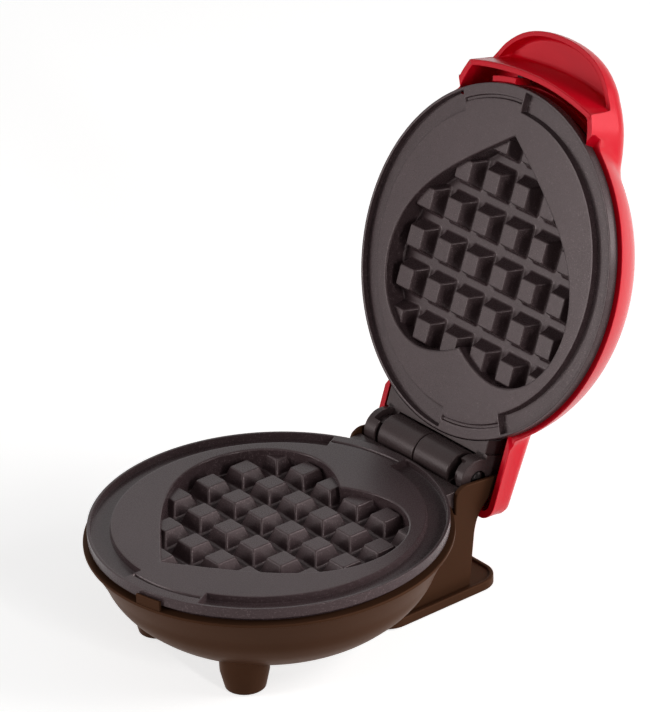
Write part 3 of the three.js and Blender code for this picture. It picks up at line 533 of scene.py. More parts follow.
COATING = speckled_coating("plate_coating", (0.050, 0.031, 0.033), (0.135, 0.096, 0.100), 0.29, 0.28)
BRACKET = speckled_coating("bracket_coating", (0.046, 0.030, 0.030), (0.082, 0.058, 0.058), 0.3, 0.24)
RED = moulded_plastic("red_plastic", (0.66, 0.002, 0.014), 0.26, grain=0.003, tint=(1.0, 0.1, 0.14))
BROWN = moulded_plastic(
    "brown_plastic", (0.060, 0.026, 0.014), 0.42, tint=(1.0, 0.6, 0.4), shine=0.03, flake=0.14
)
RUBBER = moulded_plastic("black_rubber", (0.012, 0.011, 0.011), 0.7, grain=0.3)
STEEL = bare_metal("steel", (0.55, 0.55, 0.54), 0.35)
BLACK_STEEL = bare_metal("black_steel", (0.012, 0.010, 0.010), 0.3)
CERAMIC = moulded_plastic("ceramic", (0.75, 0.71, 0.63), 0.5)
BAKELITE = moulded_plastic("bakelite", (0.012, 0.008, 0.006), 0.4)
LENS = moulded_plastic("clear_lens", (0.75, 0.8, 0.76), 0.12)

# The frame's nodes that no piece replaces. The rest of them, screws and elements, are bare steel.
NODE_LOOKS = {
    "thermostat": BAKELITE,
    "terminal_block": CERAMIC,
    "thermal_fuse": CERAMIC,
    "indicator_lamp": LENS,
}

for node_name, node in frame["nodes"].items():
    node.data.materials.clear()
    node.data.materials.append(NODE_LOOKS.get(node_name, STEEL))


# Cooking plates.

HEART_TIP = 45.1
HEART_CUSP = 31.4
HEART_HALF = 46.3
HEART_WIDEST = 9.5
HEART_DEPTH = 7.7
LOBE_X = 20.0
LOBE_Y = 37.9
FLANK_SHARES = [(0.52, 0.31), (1.0, 0.57)]
CUSP_SHARE = 0.54
PLATE_FACETS = 180
CHANNEL_WIDTH = 6.8
CHANNEL_DEPTH = 2.3
BRIDGE_ANGLE = math.radians(30)
MARK_RADII = [(56.3, 56.6), (57.5, 57.75)]
MARK_SHORT = 0.015
MARK_DEPTH = 0.8
MARK_ROUND = 0.12
ROW_RADII = {DISC_RADIUS - 0.9, 55.2, 58.6}
PIN_PITCH = 14.85
PIN_TOP = 7.4
PIN_FOOT = 11.6
PIN_DROP = 2.2
PIN_ROW_SHARE = 0.265
PIN_ROWS = 6

# The plate's side and underside, as ((radius, z), rounding).
PLATE_SIDE = [
    ((LIP_RADIUS - 0.54, 0.0), 0), ((LIP_RADIUS, 0.0), 0.42), ((LIP_RADIUS, -3.7), 0.3),
    ((NEST_RADIUS, -3.7), 0.2), ((NEST_RADIUS, -6.3), 0.2), ((NEST_RADIUS - 1.1, -6.3), 0.2),
    ((NEST_RADIUS - 1.1, -5.0), 0.2), ((51.5, -5.0), 0.3), ((51.3, -10.3), 0.5), ((0, -10.3), 0),
]
# The hollow's wall from the plate's face to the hollow's floor, as (distance inside the outline, z).
HEART_WALL = [
    (-0.75, 0.0), (-0.5, -0.03), (-0.22, -0.16), (-0.05, -0.38), (0.0, -0.7), (0.28, 0.9 - HEART_DEPTH),
    (0.42, 0.42 - HEART_DEPTH), (0.72, 0.12 - HEART_DEPTH), (1.2, -HEART_DEPTH),
]


def bezier(points, steps):
    """A Bezier curve through its first and last point, pulled by those between."""
    out = []
    last = len(points) - 1
    for k in range(steps + 1):
        t = k / steps
        pulls = [math.comb(last, i) * (1 - t) ** (last - i) * t**i for i in range(last + 1)]
        out.append(tuple(sum(pull * v for pull, v in zip(pulls, axis)) for axis in zip(*points)))
    return out


def heart_outline():
    """The heart's outline, anticlockwise from its tip."""
    height = HEART_TIP + HEART_WIDEST
    flank = [(across * HEART_HALF, up * height - HEART_TIP) for across, up in FLANK_SHARES]
    half = bezier([(0, -HEART_TIP), *flank, (HEART_HALF, HEART_WIDEST)], 44)[:-1]
    wide, high = HEART_HALF - LOBE_X, LOBE_Y - HEART_WIDEST
    for k in range(26):
        turn = QUARTER * k / 26
        half.append((LOBE_X + wide * math.cos(turn), HEART_WIDEST + high * math.sin(turn)))
    half += bezier([(LOBE_X, LOBE_Y), (CUSP_SHARE * LOBE_X, LOBE_Y), (0, HEART_CUSP)], 16)
    return half + [(-x, y) for x, y in half[-2:0:-1]]


def soft_step(start, end, reach=0.25):
    """(place, share) points of a soft step from 0 at start to 1 at end."""
    near = reach * 0.3
    rise = [(start - reach, 0.0), (start - near, 0.04), (start, 0.14)]
    return rise + [(end, 0.86), (end + near, 0.96), (end + reach, 1.0)]


def step_share(value, points):
    """How far up a soft step a value is, from 0 to 1."""
    return float(np.interp(value, *zip(*points)))


def plate_mesh():
    """The cooking plate without its pins, face up, and the two loops that its face lies between."""
    inner, outer = DISC_RADIUS, DISC_RADIUS + CHANNEL_WIDTH
    channel = [soft_step(inner - 0.2, inner + 0.15), soft_step(outer - 0.15, outer + 0.02, 0.2)]
    mark = [soft_step(start, end, MARK_ROUND) for start, end in MARK_RADII]
    middle = DISC_RADIUS + CHANNEL_WIDTH / 2
    edge = [(s / middle, f) for s, f in soft_step(-0.12, 0.12, 0.3)]
    radii = {round(r, 4) for step in channel + mark for r, _ in step}
    radii = sorted(r for r in radii | ROW_RADII if r < LIP_RADIUS - 0.55)
    angles = {round(TAU * k / PLATE_FACETS, 5) for k in range(PLATE_FACETS)}
    for start in (0, math.pi):
        for short in (0, MARK_SHORT):
            for limit in (start + short, start + BRIDGE_ANGLE - short):
                angles |= {round((limit + sign * s) % TAU, 5) for s, _ in edge for sign in (1, -1)}
    clean = []
    for turn in sorted(angles):
        if not clean or turn - clean[-1] > 2e-4:
            clean.append(turn)

    def bridged(turn, short=0.0):
        share = 0.0
        for start in (0.0, math.pi, TAU):
            into = step_share(turn - start - short, edge)
            share = max(share, into - step_share(turn - start - BRIDGE_ANGLE + short, edge))
        return share

    def between(r, steps):
        return step_share(r, steps[0]) - step_share(r, steps[1])

    def top(r, turn):
        marked = MARK_DEPTH * between(r, mark) * bridged(turn, MARK_SHORT)
        return -CHANNEL_DEPTH * between(r, channel) * (1 - bridged(turn)) - marked

    side = rounded(PLATE_SIDE, 3)
    sections = []
    for turn in clean:
        s, c = math.sin(turn), -math.cos(turn)
        section = [(r * s, r * c, top(r, turn)) for r in radii]
        sections.append(section + [(r * s, r * c, z) for r, z in side])
    points, faces = skin(sections)
    round_loop = [k * len(sections[0]) for k in range(len(sections))]

    outline = heart_outline()
    first, count = len(points), len(outline)
    for distance, z in HEART_WALL:
        points.extend((x, y, z) for x, y in inset(outline, distance))
    faces += ring_quads(first, count, len(HEART_WALL))
    faces.append(tuple(range(first + (len(HEART_WALL) - 1) * count, first + len(HEART_WALL) * count)))
    return points, faces, round_loop, [first + i for i in range(count)]


def fill_between(points, faces, outer_loop, inner_loop):
    """Closes the flat face between two loops with triangles."""
    work = bmesh.new()
    made = {i: work.verts.new(points[i]) for i in outer_loop + inner_loop}
    back = {v: i for i, v in made.items()}
    edges = []
    for loop in (outer_loop, inner_loop):
        for a, b in zip(loop, loop[1:] + loop[:1]):
            edges.append(work.edges.new((made[a], made[b])))
    bmesh.ops.triangle_fill(work, use_beauty=True, edges=edges)
    faces.extend(tuple(back[v] for v in face.verts) for face in work.faces)
    work.free()


def pin_mesh(x, y):
    """A four-sided tapered pin with rounded edges and a flared foot."""
    slope = (PIN_FOOT - PIN_TOP) / 2 / (HEART_DEPTH - PIN_DROP)
    half = PIN_TOP / 2
    foot = half + slope * (HEART_DEPTH - PIN_DROP)
    levels = [
        (foot + 0.9, 1.6, -HEART_DEPTH - 0.6),
        (foot + 0.75, 1.6, -HEART_DEPTH - 0.02),
        (foot + 0.16, 1.1, -HEART_DEPTH + 0.2),
        (half + slope * (HEART_DEPTH - PIN_DROP - 0.75), 0.9, -HEART_DEPTH + 0.75),
        (half + slope * 0.5, 0.6, -PIN_DROP - 0.5),
        (half + slope * 0.1 - 0.02, 0.55, -PIN_DROP - 0.2),
        (half - 0.18, 0.5, -PIN_DROP - 0.05),
        (half - 0.45, 0.4, -PIN_DROP),
    ]
    return shifted(loft([ring_of(wide, -wide, wide, corner, z, 5) for wide, corner, z in levels]), x, y)


def inside(point, outline):
    x, y = point
    odd = False
    for (x0, y0), (x1, y1) in zip(outline, outline[1:] + outline[:1]):
        if (y0 > y) != (y1 > y) and x < (x1 - x0) * (y - y0) / (y1 - y0) + x0:
            odd = not odd
    return odd


def pins():
    """Every pin that reaches into the heart."""
    outline = heart_outline()
    first = PIN_ROW_SHARE * PIN_PITCH - HEART_TIP
    half = PIN_FOOT / 2
    made = []
    for row in range(PIN_ROWS):
        for column in range(PIN_ROWS):
            x = (column - (PIN_ROWS - 1) / 2) * PIN_PITCH
            y = first + row * PIN_PITCH
            reach = [(x + a * half, y + b * half) for a in (-1, 0, 1) for b in (-1, 0, 1)]
            if any(inside(p, outline) for p in reach):
                made.append(pin_mesh(x, y))
    return join(*made)


def cooking_plate(name, body, upper):
    points, faces, round_loop, heart_loop = plate_mesh()
    fill_between(points, faces, round_loop, heart_loop)
    pin_points, pin_faces = pins()
    if upper:
        points, pin_points = turned_over(points), turned_over(pin_points)
    plate = blank(name, (points, faces), body, COATING)
    merge(plate, blank(name + "_pins", (pin_points, pin_faces), body, COATING))
    weigh_normals(plate)
    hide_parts("upper_plate" if upper else "lower_plate")


cooking_plate("cooking_plate_lower", "base", False)
cooking_plate("cooking_plate_upper", "lid", True)


# The lid's solids, drawn as distances: below zero inside, above it outside.

# (radius, height) of the dome's profile, as shares of its radius and height.
DOME_SHARES = [
    (1.0, 0.0), (0.988, 0.1), (0.952, 0.31), (0.907, 0.49), (0.845, 0.655),
    (0.745, 0.81), (0.58, 0.92), (0.315, 0.98), (0.0, 1.0),
]
# (x, reach) of half the hood's outline, as shares of its half width and reach.
HOOD_SHARES = [
    (1.0, 0.4), (0.995, 0.57), (0.94, 0.694), (0.868, 0.772), (0.79, 0.83),
    (0.688, 0.892), (0.508, 0.953), (0.273, 0.989),
]


def spline(points, per):
    """An open Catmull-Rom curve through the points."""
    out = []
    last = len(points) - 1
    for i in range(last):
        a, b, c, d = (Vector(points[min(max(k, 0), last)]) for k in (i - 1, i, i + 1, i + 2))
        for k in range(per):
            t = k / per
            square = (2 * a - 5 * b + 4 * c - d) * t * t
            cube = (3 * b - a - 3 * c + d) * t**3
            out.append(tuple(0.5 * (2 * b + (c - a) * t + square + cube)))
    return out + [tuple(points[last])]


DOME = spline([(r * RIM_RADIUS, UPPER_RIM_Z + h * DOME_HEIGHT) for r, h in DOME_SHARES], 8)
DOME_R = np.array([p[0] for p in DOME])
DOME_Z = np.array([p[1] for p in DOME])
hood_half = [(-x * HOOD_HALF, -y * HOOD_REACH) for x, y in HOOD_SHARES]
HOOD_PLAN = spline(hood_half + [(0.0, -HOOD_REACH)] + [(-x, y) for x, y in hood_half[::-1]], 8)
HOOD_INNER = inset(HOOD_PLAN, HOOD_RIM)
HOOD_ROOM = inset(HOOD_PLAN, HANDLE_WALL)


def dome_distance(x, y, z):
    r = np.hypot(x, y)
    across = r - np.interp(z, DOME_Z, DOME_R)
    above = z - np.interp(-r, -DOME_R, DOME_Z)
    slant = np.hypot(across, above)
    near = across * above / np.where(slant < 1e-9, 1, slant)
    outside = np.where((across > 0) & (above > 0), near, np.maximum(across, above))
    return np.where((across < 0) & (above < 0), -near, np.where(z <= UPPER_RIM_Z, across, outside))


def plan_distance(x, y, outline):
    """Distance in plan to a closed outline."""
    a = np.array(outline)
    b = np.roll(a, -1, axis=0)
    side = b - a
    px = x[:, None] - a[None, :, 0]
    py = y[:, None] - a[None, :, 1]
    share = np.clip((px * side[:, 0] + py * side[:, 1]) / (side**2).sum(1), 0, 1)
    near = np.hypot(px - share * side[:, 0], py - share * side[:, 1]).min(1)
    crosses = (a[None, :, 1] > y[:, None]) != (b[None, :, 1] > y[:, None])
    safe = np.where(side[:, 1] == 0, 1, side[:, 1])
    odd = (crosses & (px < side[:, 0] * py / safe)).sum(1) % 2
    return np.where(odd == 1, -near, near)


def corner_distance(across, above, corner):
    """Distance to a body with a rounded corner, from the distances to its two sides."""
    one, two = across + corner, above + corner
    outside = np.hypot(np.maximum(one, 0), np.maximum(two, 0))
    return np.minimum(np.maximum(one, two), 0) + outside - corner


def handle_top(y):
    fall = HANDLE_TOP_REAR - HANDLE_TOP_FRONT
    return UPPER_RIM_Z + HANDLE_TOP_REAR - fall * (-y / HOOD_REACH) ** 4


def hood_distance(x, y, z):
    return corner_distance(plan_distance(x, y, HOOD_PLAN), z - handle_top(y), HANDLE_ROUND)


def skirt_distance(x, y, z):
    along = np.abs(y - (SKIRT_FRONT + SKIRT_REAR) / 2) - (SKIRT_REAR - SKIRT_FRONT) / 2
    plan = corner_distance(np.abs(x) - SKIRT_HALF, along, SKIRT_CORNER)
    share = (y - SKIRT_FRONT) / (SKIRT_REAR - SKIRT_FRONT)
    top = PLATE_GAP + SKIRT_FRONT_TOP + share * (SKIRT_REAR_TOP - SKIRT_FRONT_TOP)
    return corner_distance(plan, z - top, SKIRT_ROUND)


def blended(one, two, reach):
    """The nearer of two distances, with a fillet of that reach where they meet."""
    overlap = np.maximum(reach - np.abs(one - two), 0) / reach
    return np.minimum(one, two) - overlap * overlap * reach / 4


def lid_outside(x, y, z):
    top = blended(dome_distance(x, y, z), hood_distance(x, y, z), OUTER_FILLET)
    return blended(top, skirt_distance(x, y, z), OUTER_FILLET)


def lid_inside(x, y, z):
    dome, skirt = dome_distance(x, y, z) + DOME_WALL, skirt_distance(x, y, z) + SKIRT_WALL
    return blended(dome, skirt, INNER_FILLET)


def cast(solid, start_z, turns, slope):
    """Radii and heights where rays from the axis, at a slope, leave a solid. turns is an array."""
    slopes = np.full(len(turns), slope)
    out_x, out_y = np.cos(slopes) * np.sin(turns), -np.cos(slopes) * np.cos(turns)
    out_z = np.sin(slopes)
    near, far = np.zeros(len(turns)), np.full(len(turns), RAY_LENGTH)
    for _ in range(RAY_HALVINGS):
        half = (near + far) / 2
        within = solid(half * out_x, half * out_y, start_z + half * out_z / RAY_SQUASH) < 0
        near, far = np.where(within, half, near), np.where(within, far, half)
    return near * np.cos(slopes), start_z + near * np.sin(slopes) / RAY_SQUASH


# Lid shell.


def ray_to_outline(outline, turn):
    """How far the closed outline lies from the centre in one direction."""
    sx, sy = math.sin(turn), -math.cos(turn)
    best = 0.0
    for (x0, y0), (x1, y1) in zip(outline, outline[1:] + outline[:1]):
        c0, c1 = x0 * sy - y0 * sx, x1 * sy - y1 * sx
        if (c0 <= 0) != (c1 <= 0):
            share = c0 / (c0 - c1)
            best = max(best, (x0 + share * (x1 - x0)) * sx + (y0 + share * (y1 - y0)) * sy)
    return best


def apron_lean(z):
    """How far the apron's face is in front of its foot, at a height."""
    return APRON_LEAN * (z - APRON_LOW_Z) / (CEILING_Z - APRON_LOW_Z)


def apron_ray(signed, z, back=0):
    """How far the apron's face lies from the centre, at a height, moved back by a distance."""
    turn = abs(signed)
    sag = APRON_REACH + APRON_CORNER_Y
    radius = (APRON_CORNER**2 + sag**2) / (2 * sag)
    forward = apron_lean(z)
    if signed < 0:
        forward += APRON_SKEW * min(1.0, turn / APRON_SKEW_END) ** 2
    middle = radius - APRON_REACH - forward + back
    along = -math.cos(turn) * middle
    face = along + math.sqrt(max(along**2 - middle**2 + radius**2, 0))
    if abs(face * math.sin(turn)) > APRON_CORNER:
        return (-APRON_CORNER_Y + forward - back) / math.cos(turn)
    return face


def lid_angles():
    """Angles from the handle's middle, close together where the lid changes its form."""
    end = math.degrees(HANDLE_END)
    half = [2.0 * k for k in range(11)] + [20 + 0.5 * k for k in range(1, 23)]
    half += [end - 0.12, end + 0.12, end + 0.5, end + 1] + [34, 35, 36, 37, 38, 40, 42, 44]
    half += [46 + 2.5 * k for k in range(39)] + [142 + 0.75 * k for k in range(40)]
    half += [173, 175, 177, 180]
    half = sorted({round(a, 3) for a in half if abs(a - end) > 0.1})
    return [math.radians(a) for a in half] + [-math.radians(a) for a in half[-2:0:-1]]


def handle_corners(signed, wall):
    """The profile at the handle, from the foot of the dome's wall to the plate's nest."""
    hood = ray_to_outline(HOOD_PLAN, signed)
    room = ray_to_outline(HOOD_ROOM, signed)
    rim_in = ray_to_outline(HOOD_INNER, signed)
    face, foot = apron_ray(signed, HOOD_UNDER_Z), apron_ray(signed, APRON_LOW_Z)
    low = HOOD_UNDER_Z
    if face > hood:
        share = max(0.0, (hood - foot) * math.cos(signed) / apron_lean(HOOD_UNDER_Z))
        low = APRON_LOW_Z + share * (HOOD_UNDER_Z - APRON_LOW_Z)
    corners = []
    for share in (0.35, 0.7):
        corners.append(((wall + (hood - wall) * share, WALL_TOP_Z + (low - WALL_TOP_Z) * share), -1))
    if rim_in - face > 0.02:
        share = min(1.0, (rim_in - face) / ROOF_RAMP)
        roof = HOOD_UNDER_Z + (CEILING_Z - HOOD_UNDER_Z) * share * share * (3 - 2 * share)
        corners += [((hood, HOOD_UNDER_Z), 0.5), ((rim_in, HOOD_UNDER_Z), 0.4), ((rim_in, roof), 1.6)]
        corners.append(((apron_ray(signed, roof), roof), 1.2))
    else:
        corners += [((hood, low), 0.5)] + [((min(face, hood), low), 0)] * 3
    back = min(apron_ray(signed, APRON_LOW_Z, APRON_WALL), room)
    core = min(apron_ray(signed, CORE_Z, APRON_WALL), room)
    dome_high = float(np.interp(CORE_Z, DOME_Z, DOME_R))
    dome_low = float(np.interp(RELIEF_Z, DOME_Z, DOME_R))
    corners += [((min(foot, hood), APRON_LOW_Z), 0.5), ((back, APRON_LOW_Z), 0.5), ((core, CORE_Z), 1.0)]
    corners += [((dome_high, CORE_Z), 0.6), ((dome_low, RELIEF_Z), 0.5)]
    return corners + [((LID_NEST, RELIEF_Z), 0.3)], LID_NEST


def rim_corners(turn, reach, hollow):
    """The profile away from the handle, from the rim's lower edge to the plate's nest."""
    low = APRON_LOW_Z + (UPPER_RIM_Z - APRON_LOW_Z) * min(1.0, (turn - HANDLE_END) / HANDLE_RAMP)
    nest = LID_NEST
    if turn > SKIRT_TURN:
        across = max(math.sin(turn), TINY)
        side = min(SKIRT_HALF / across, -SKIRT_REAR / math.cos(turn))
        thin = (SKIRT_HALF - SKIRT_WALL) / across
        if side > RIM_RADIUS:
            low -= SKIRT_RIM_DROP * min(1.0, (side - RIM_RADIUS) / SKIRT_RIM_RAMP)
            thin = min(thin, -(SKIRT_REAR - SKIRT_WALL) / math.cos(turn))
        nest = max(LID_NEST, min(thin, hollow))
    corners = [((reach, low), 0.55)]
    for share in (0.2, 0.35, 0.5, 0.6, 0.7, 0.8, 0.85, 0.9):
        corners.append(((reach + (nest - reach) * share, low), 0))
    return corners + [((nest, low), 0.4)], nest


def lid_shell():
    """The lid's moulding, as profiles round its axis."""
    turns = lid_angles()
    many = np.array(turns)
    slopes = [QUARTER * (k / 46) ** 1.15 for k in range(47)]
    upper = [cast(lid_outside, WALL_TOP_Z, many, slope) for slope in slopes]
    heights = [WALL_TOP_Z + (UPPER_RIM_Z + 1.5 - WALL_TOP_Z) * k / 4 for k in (1, 3)]
    lower = [cast(lid_outside, z, many, 0) for z in heights]
    base = cast(lid_outside, UPPER_RIM_Z + 0.2, many, 0)[0]
    inner = [cast(lid_inside, LEDGE_Z, many, QUARTER * k / 24) for k in range(25)]

    def cast_points(rows, i):
        return [((float(r[i]), float(z[i])), -1) for r, z in rows]

    sections = []
    for i, signed in enumerate(turns):
        corners = cast_points(upper[::-1], i)
        if abs(signed) < HANDLE_END:
            more, nest = handle_corners(signed, float(upper[0][0][i]))
        else:
            corners += cast_points(lower, i)
            more, nest = rim_corners(abs(signed), float(base[i]), float(inner[0][0][i]))
        corners += more + [((nest, LEDGE_Z - 0.05), 0)] + cast_points(inner, i)
        s, c = math.sin(signed), -math.cos(signed)
        sections.append([(r * s, r * c, z) for r, z in rounded(corners, 3)])
    return skin(sections)


def make_lid():
    shell = blank("lid_shell_moulding", lid_shell(), "lid", RED)
    bore = rod_z(LENS_BORE, 16, 36, 48, (0, -LENS_Y), 0.05)
    merge(shell, blank("lens_cut", bore, "lid", RED), "DIFFERENCE")
    weigh_normals(shell)
    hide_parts("lid_shell")
    width = math.radians(10.5)
    tab = sector_block(PLATE_ROOM, RIM_RADIUS + 0.7, LID_TAB_TURN, width, 1.4, RELIEF_Z + 1)
    piece("lid_tab", tab, "lid", RED)


make_lid()


# Housing.

# (radius, depth) of the bowl's outside below its rim, as shares of the rim's radius and the depth.
BOWL_SHARES = [
    (1.0, 0.022), (0.965, 0.155), (0.917, 0.335), (0.872, 0.52), (0.794, 0.702), (0.662, 0.885),
    (0.45, 1.0),
]
# Profiles as ((radius, z), rounding).
BOWL_ROOM = [
    ((0, 5), 0), ((LID_NEST, 5), 0), ((LID_NEST, -8.7), 0), ((58.2, -8.7), 0), ((55.8, -16), -1),
    ((52.8, -23), -1), ((46.5, -30), -1), ((38, -33.6), -1), ((28, -34.6), -1), ((0, -34.6), 0),
]
FOOT = [
    ((0, FOOT_LOW_Z), 0), ((7.0, FOOT_LOW_Z), 0.4), ((8.5, -36), -1), ((8.6, -31), -1),
    ((8.6, -16), 0), ((0, -16), 0),
]
# The pedestal's side, as ((y, z), rounding).
PEDESTAL = [
    ((26, FOOT_LOW_Z), 0), ((HINGE_Y - 5, FOOT_LOW_Z), 0), ((HINGE_Y - 3.1, -18), 6),
    ((HINGE_Y - 1.4, -12.6), 5), ((PEDESTAL_REAR + 0.1, -2.6), 1.6), ((PEDESTAL_REAR, CHEEK_REAR_Z), 0.8),
    ((CHEEK_FRONT_Y, CHEEK_FRONT_Z), 2.0), ((PEDESTAL_FRONT + 1.0, -0.6), 1.5),
    ((PEDESTAL_FRONT, -2.8), 1.5), ((PEDESTAL_FRONT, -9.2), 0), ((26, -9.2), 0),
]


def bowl_core():
    """The bowl, still full, with a bead round its rim."""
    curve = spline([(r * RIM_RADIUS, -RIM_DROP - d * BOWL_DEPTH) for r, d in BOWL_SHARES], 7)
    top = BOWL_TOP_Z
    curve = [p for p in curve if p[1] < top - 1.35]
    under = (curve[0][0] + (curve[0][1] - top + 1.3) * UNDER_BEAD_SLOPE, top - 1.25)
    corners = [((0, top), 0), ((BEAD_RADIUS, top), 0.45), ((BEAD_RADIUS, top - 1.1), 0.3), (under, 0.15)]
    corners += [(p, -1) for p in curve] + [((0, -RIM_DROP - BOWL_DEPTH), 0)]
    return lathe(corners, 192, 4)


def pedestal_block():
    """The pedestal with its two cheeks, a little wider at the top than at the floor."""
    points, faces = extrude_x(PEDESTAL, 5, -CHEEK_OUTER, CHEEK_OUTER, 0.55, 4)
    share, height = CHEEK_SPREAD / CHEEK_OUTER, -CHEEK_DROP - FOOT_LOW_Z
    return [(x * (1 - share * (-CHEEK_DROP - z) / height), y, z) for x, y, z in points], faces


def flange_block():
    """The flange round the pedestal's foot, with a raised bead along its edge."""
    low, top = FOOT_LOW_Z, FOOT_LOW_Z + FLANGE_THICK
    crest = top + FLANGE_BEAD
    corners = [((0, low), 0), ((0, crest), 0.55), ((1.45, crest), 0.5), ((1.7, top), 0.4), ((5, top), 0)]
    rings = []
    for i, z in rounded(corners, 4):
        corner = FLANGE_CORNER - min(i, 8)
        rings.append(ring_of(FLANGE_HALF - i, FLANGE_FRONT + i, FLANGE_REAR - i, corner, z, 10))
    return loft(rings)


def saddle_room():
    """The space between the cheeks, whose upper inner edges are eased."""
    rings = []
    for y in (20.0, CHEEK_FRONT_Y, PEDESTAL_REAR, HINGE_Y + 16):
        share = min(1.0, max(0.0, (y - CHEEK_FRONT_Y) / CHEEK_RUN))
        top = CHEEK_FRONT_Z + (CHEEK_REAR_Z - CHEEK_FRONT_Z) * share
        half = [(CHEEK_INNER, -8.56), (CHEEK_INNER, top - 0.5), (CHEEK_INNER + 0.12, top - 0.2)]
        half += [(CHEEK_INNER + 0.4, top + 0.02), (CHEEK_INNER + 0.4, 4)]
        rings.append([(x, y, z) for x, z in half] + [(-x, y, z) for x, z in half[::-1]])
    return loft(rings)


def make_housing():
    housing = blank("housing_moulding", bowl_core(), "base", BROWN)
    foot = lathe(FOOT, 72, 5)
    for name, made, operation in (
        ("pedestal", pedestal_block(), "UNION"),
        ("flange", flange_block(), "UNION"),
        ("feet", join(shifted(foot, FOOT_X, FOOT_Y), shifted(foot, -FOOT_X, FOOT_Y)), "UNION"),
        ("bowl_room", lathe(BOWL_ROOM, 96, 1), "DIFFERENCE"),
    ):
        merge(housing, blank(name, made, "base", BROWN), operation)
    saddle = blank("saddle_room", saddle_room(), "base", BROWN)
    keep = rod_z(SADDLE_KEEP, -12, -RIM_DROP, 128)
    merge(saddle, blank("saddle_keep", keep, "base", BROWN), "DIFFERENCE")
    merge(housing, saddle, "DIFFERENCE")
    bore = laid_back(rod_z(GLAND_BORE, -9, 6, 48), HINGE_Y - 4.6, GLAND_Z)
    merge(housing, blank("gland_bore", bore, "base", BROWN), "DIFFERENCE")
    weigh_normals(housing)
    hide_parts("lower_housing")
    turn, width = math.radians(12.8), math.radians(9.2)
    tab = sector_block(PLATE_ROOM, RIM_RADIUS - 0.5, turn, width, BOWL_TOP_Z - 0.7, -RIM_DROP + 2.4)
    piece("housing_tab", tab, "base", BROWN)


make_housing()


# Hinge.


def bracket_ring(name, body, low, top):
    """The bracket's ring round a plate's nest."""
    corners = [(RING_INNER, low), (NEST_RADIUS, low), (NEST_RADIUS, top), (RING_INNER, top)]
    corners = [(at, 0.3) for at in corners] + [((RING_INNER, low), 0)]
    piece(name, lathe(corners, 128, 2), body, BRACKET)


def clear_lip(solid, name, body, low, top):
    """Cuts the round of the plate's lip out of a bracket."""
    merge(solid, blank(name, rod_z(PLATE_ROOM, low, top, 160), body, BRACKET), "DIFFERENCE")


def make_lower_bracket():
    half, front, edge = CHEEK_INNER - 0.3, BRACKET_FRONT, DECK_EDGE
    outline = [((front, -7.3), 0), ((edge, -7.3), 0.5), ((edge, -1.0), 0.6), ((front, -1.0), 0)]
    deck = blank("bracket_deck", extrude_x(outline, 5, -half, half, 0.4), "base", BRACKET)
    clear_lip(deck, "deck_cut", "base", -9, 2)
    seat = [((edge - 2.0, -7.9), 0), ((HINGE_Y, -7.9), 0), ((HINGE_Y, HINGE_Z), 0)]
    seat += [((edge - 0.6, -2.4), 1.2), ((edge - 2.0, -2.4), 0)]
    merge(deck, blank("deck_seat", extrude_x(seat, 5, -SEAT_HALF, SEAT_HALF, 0.3), "base", BRACKET))
    weigh_normals(deck)
    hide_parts("lower_frame")
    bracket_ring("bracket_ring_lower", "base", -8.4, -6.6)
    for name, (left, right) in BARREL_ENDS.items():
        radius, edge = BARREL_RADIUS, 0.55
        corners = [((left, 0), 0), ((left, radius), edge), ((right, radius), edge), ((right, 0), 0)]
        piece(name, on_hinge(corners, 96, 4), "base", BRACKET)


def hinge_arc(radius, start, end, steps):
    """An arc of (y, z) points about the hinge's axis."""
    turns = [start + (end - start) * k / steps for k in range(steps + 1)]
    return [(HINGE_Y + radius * math.cos(a), HINGE_Z + radius * math.sin(a)) for a in turns]


def arm_outline(front, radius, end, steps, top_edge):
    """The section of a bar from a front face to an arc about the hinge's axis."""
    start = math.pi - math.asin((TONGUE_LOW_Z - HINGE_Z) / radius)
    arc = [(at, 0) for at in hinge_arc(radius, start, end, steps)]
    top = [((HINGE_Y, TONGUE_TOP_Z), top_edge), ((front, TONGUE_TOP_Z), 0)]
    return [((front, TONGUE_LOW_Z), 0)] + arc + top


def pocket_tool(way, start, end):
    """The pocket in a knuckle's inner side: a ring sector about the hinge axis."""
    ring = hinge_arc(POCKET_OUTER, start, end, 32) + hinge_arc(POCKET_RADIUS, start, end, 32)[::-1]
    ends = sorted((way * (KNUCKLE_INNER - 1), way * (KNUCKLE_OUTER - KNUCKLE_DISC)))
    return loft([[(x, y, z) for y, z in ring] for x in ends])


def make_upper_bracket():
    """The tongue is hollowed round the barrels, and each arm ends in its knuckle."""
    outline = arm_outline(BRACKET_FRONT, BARREL_ROOM, QUARTER, 12, 0.25)
    tongue = extrude_x(outline, 3, -CHEEK_INNER, TONGUE_RIGHT, 0.45)
    tongue = blank("bracket_tongue", tongue, "lid", BRACKET)
    clear_lip(tongue, "tongue_cut", "lid", -2, PLATE_GAP + 6.6)
    weigh_normals(tongue)
    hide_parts("upper_frame")
    bracket_ring("bracket_ring_upper", "lid", PLATE_GAP + 6.6, PLATE_GAP + 8.4)
    outline = arm_outline(DECK_EDGE - 1, KNUCKLE_RADIUS, 2.5 * math.pi, 60, 0.8)
    for way, side, start, end in ((-1, "left", 165, 238), (1, "right", 220, 385)):
        left, right = sorted((way * (KNUCKLE_INNER + 0.7), way * KNUCKLE_OUTER))
        arm = extrude_x(outline, 4, left, right, 0.45, 4)
        arm = blank("hinge_knuckle_" + side, arm, "lid", BRACKET)
        pocket = pocket_tool(way, math.radians(start), math.radians(end))
        merge(arm, blank("pocket_cut", pocket, "lid", BRACKET), "DIFFERENCE")
        weigh_normals(arm)


